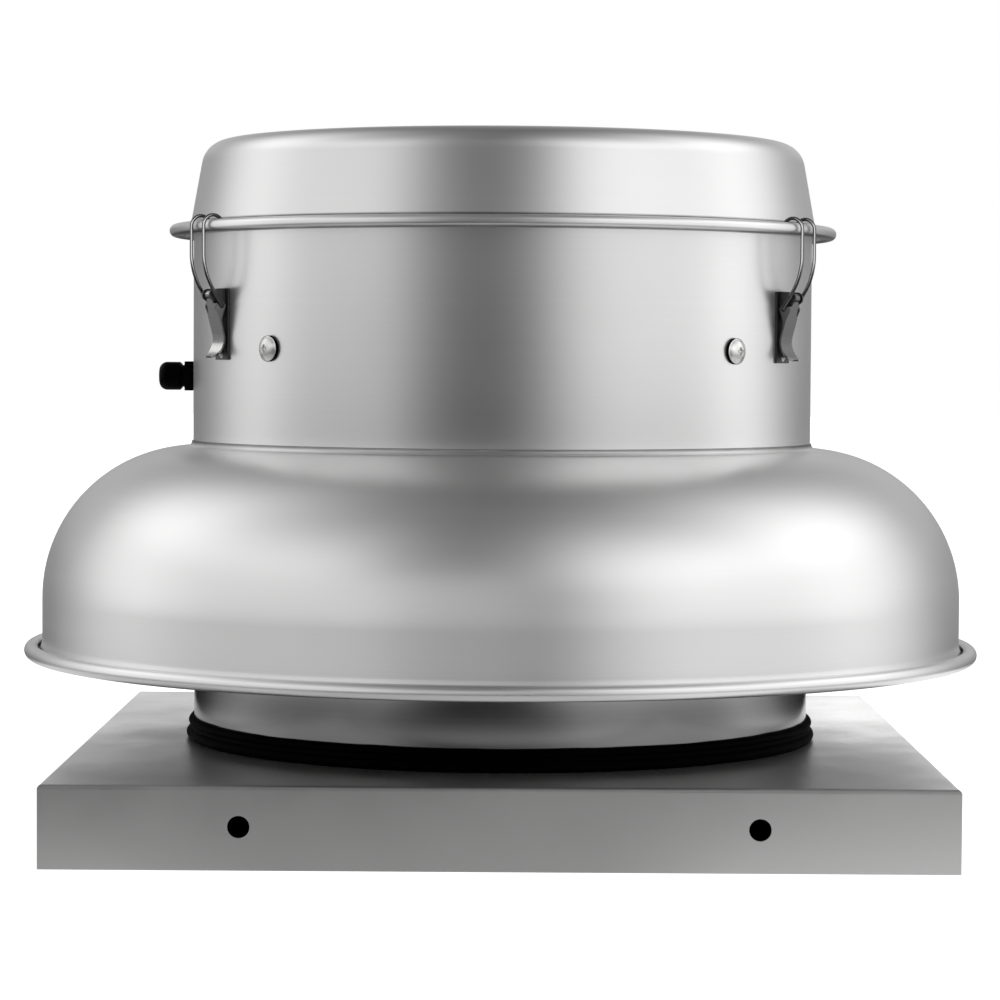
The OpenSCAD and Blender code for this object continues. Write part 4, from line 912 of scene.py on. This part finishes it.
class FAN_OT_stage(bpy.types.Operator):
    """Set the pale floor, the room's soft light and the camera"""

    bl_idname = "roof_fan.stage"
    bl_label = "Stage"

    def execute(self, context):
        scene = context.scene
        studio = scene.fan_studio
        scene.view_settings.view_transform = "Standard"
        scene.cycles.use_denoising = True
        self.floor(studio)
        self.room(scene, studio)
        for box in SOFT_BOXES:
            self.soft_light(*box)
        camera = bpy.data.objects.new("front_camera", bpy.data.cameras.new("front_camera"))
        scene.collection.objects.link(camera)
        camera.data.lens = studio.lens
        camera.data.sensor_width = 36.0
        camera.data.clip_end = 50.0
        pitch, roll, yaw = math.radians(-2.503), math.radians(0.351), math.radians(0.023)
        level = Matrix.Rotation(yaw, 4, "Z") @ Matrix.Rotation(math.pi / 2 + pitch, 4, "X")
        place = Matrix.Translation((0, -studio.distance, studio.height))
        camera.matrix_world = place @ level @ Matrix.Rotation(roll, 4, "Z")
        scene.camera = camera
        return {"FINISHED"}

    def soft_light(self, name, place, aim, size, power, pieces):
        """A soft box that lights only the named pieces and that the camera doesn't see."""
        lamp = bpy.data.lights.new(name, "AREA")
        lamp.shape = "RECTANGLE"
        lamp.size, lamp.size_y = size
        lamp.energy = power
        box = bpy.data.objects.new(name, lamp)
        bpy.context.scene.collection.objects.link(box)
        box.location = place
        box.rotation_euler = (Vector(aim) - Vector(place)).to_track_quat("-Z", "Y").to_euler()
        box.visible_camera = False
        lit = bpy.data.collections.new(name + "_pieces")
        for piece in pieces:
            lit.objects.link(bpy.data.objects[piece])
        box.light_linking.receiver_collection = lit

    def floor(self, studio):
        """White to the camera but for a soft shadow, and dimmer near the fan to everything else."""
        half = 12.0
        mesh = bpy.data.meshes.new("pale_floor")
        corners = [(-half, -half, 0), (half, -half, 0), (half, half, 0), (-half, half, 0)]
        mesh.from_pydata(corners, [], [[0, 1, 2, 3]])
        floor = bpy.data.objects.new("pale_floor", mesh)
        bpy.context.scene.collection.objects.link(floor)
        material, nodes, shader = new_material("pale_floor")
        place = nodes.add("ShaderNodeTexCoord").outputs["Object"]
        x, y, _ = nodes.add("ShaderNodeSeparateXYZ", {0: place}).outputs
        across = nodes.math("MAXIMUM", nodes.math("ABSOLUTE", x), nodes.math("ABSOLUTE", y))
        outside = nodes.math("GREATER_THAN", across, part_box("curb_cap")[1][0])
        # Painted shade: under the curb the floor is black and unlit to the camera, seen as shade through the
        # curb's holes; to everything else it glows at 0.4 there
        nodes.put(shader.inputs["Base Color"], tinted(nodes, outside, (0, 0, 0), (0.8, 0.8, 0.8)))
        shader.inputs["Roughness"].default_value = 0.9
        shader.inputs["Specular IOR Level"].default_value = 0.0
        shader.inputs["Emission Color"].default_value = (1, 1, 1, 1)
        nodes.put(shader.inputs["Emission Strength"], nodes.math("MULTIPLY", outside, 0.86))
        far = radius_of(nodes, x, y)
        room = nodes.add("ShaderNodeGroup", node_tree=shared_group("room_sides", room_sides_group))
        nodes.put(room.inputs["Direction"], place)
        side = nodes.math("MULTIPLY", room.outputs["Side"], span_of(nodes, x, -1.5, -0.5, 0.78, 1.0))
        near = nodes.math("MULTIPLY", nodes.math("MULTIPLY", side, side), 0.25)
        apron = span_of(nodes, far, 0.45, 0.52, 1.0, 0.0)
        apron = nodes.math("MULTIPLY", apron, span_of(nodes, x, -0.26, 0.26, 0.43, 0.65))
        near = nodes.math("ADD", near, apron)
        spread = span_of(nodes, far, 0.9, 1.4, 0.0, 1.0)
        both = nodes.add("ShaderNodeMix", {0: spread, 2: near, 3: side}).outputs[0]
        both = nodes.add("ShaderNodeMix", {0: outside, 2: 0.4, 3: both}).outputs[0]
        glow = nodes.add("ShaderNodeEmission", {"Strength": both}).outputs[0]
        clear = nodes.add("ShaderNodeBsdfTransparent").outputs[0]
        past = nodes.math("GREATER_THAN", far, studio.table)
        table = nodes.add("ShaderNodeMixShader", {0: past, 1: glow, 2: clear}).outputs[0]
        seen = nodes.add("ShaderNodeLightPath").outputs["Is Camera Ray"]
        mix = nodes.add("ShaderNodeMixShader", {0: seen, 1: table, 2: shader.outputs[0]}).outputs[0]
        below = nodes.add("ShaderNodeNewGeometry").outputs["Backfacing"]
        mix = nodes.add("ShaderNodeMixShader", {0: below, 1: mix, 2: clear}).outputs[0]
        nodes.put(material.node_tree.nodes["Material Output"].inputs["Surface"], mix)
        mesh.materials.append(material)

    def room(self, scene, studio):
        """Soft light by direction: tall pale panels at both sides, dark in front, dim above and behind."""
        world = bpy.data.worlds.new("studio_room")
        scene.world = world
        world.use_nodes = True
        tree = world.node_tree
        tree.nodes.clear()
        nodes = Nodes(tree)
        way = nodes.add("ShaderNodeTexCoord").outputs["Generated"]
        room = nodes.add("ShaderNodeGroup", node_tree=shared_group("room_sides", room_sides_group))
        nodes.put(room.inputs["Direction"], way)
        _, y, z = nodes.add("ShaderNodeSeparateXYZ", {0: way}).outputs
        tall = nodes.ramp(nodes.math("ARCSINE", z), 90, HEIGHT_STOPS)
        glow = nodes.math("MULTIPLY", room.outputs["Side"], tall)
        back = span_of(nodes, y, 0.75, 0.95, 0.0, 0.45)
        back = nodes.math("MULTIPLY", back, span_of(nodes, z, 0.05, 0.2, 0.0, 1.0))
        back = nodes.math("MULTIPLY", back, span_of(nodes, z, 0.45, 0.65, 1.0, 0.0))
        gap = span_of(nodes, y, -0.93, -0.8, 0.5, 0.0)
        gap = nodes.math("MULTIPLY", gap, span_of(nodes, z, 0.1, 0.25, 0.0, 1.0))
        glow = nodes.math("MULTIPLY", glow, nodes.math("SUBTRACT", 1.0, gap))
        glow = nodes.math("ADD", nodes.math("ADD", glow, back), 0.025)
        lit = nodes.add("ShaderNodeBackground", {"Strength": nodes.math("MULTIPLY", glow, studio.strength)})
        white = nodes.add("ShaderNodeBackground", {"Strength": 1.0})
        for node in (lit, white):
            node.inputs["Color"].default_value = (1, 1, 1, 1)
        seen = nodes.add("ShaderNodeLightPath").outputs["Is Camera Ray"]
        mix = nodes.add("ShaderNodeMixShader", {0: seen, 1: lit.outputs[0], 2: white.outputs[0]}).outputs[0]
        nodes.add("ShaderNodeOutputWorld", {"Surface": mix})


class FAN_PT_panel(bpy.types.Panel):
    """Lists the fan's build steps in the sidebar"""

    bl_label = "Roof fan"
    bl_idname = "FAN_PT_panel"
    bl_space_type = "VIEW_3D"
    bl_region_type = "UI"
    bl_category = "Roof fan"

    def draw(self, context):
        for step in STEPS:
            self.layout.operator(step.bl_idname)


STEPS = (FAN_OT_finishes, FAN_OT_spun_shells, FAN_OT_base, FAN_OT_latches, FAN_OT_screws, FAN_OT_stage)
GROUPS = {"fan_shells": ShellSizes, "fan_latches": LatchSizes, "fan_finishes": Finishes, "fan_studio": Studio}
CLASSES = (*GROUPS.values(), *STEPS, FAN_PT_panel)


def register():
    for cls in CLASSES:
        bpy.utils.register_class(cls)
    for name, group in GROUPS.items():
        setattr(bpy.types.Scene, name, PointerProperty(type=group))


def unregister():
    for name in GROUPS:
        delattr(bpy.types.Scene, name)
    for cls in reversed(CLASSES):
        bpy.utils.unregister_class(cls)


def build_fan():
    """Registers the add-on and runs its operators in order."""
    register()
    for step in STEPS:
        category, action = step.bl_idname.split(".")
        getattr(getattr(bpy.ops, category), action)()


if __name__ == "__main__":
    build_fan()
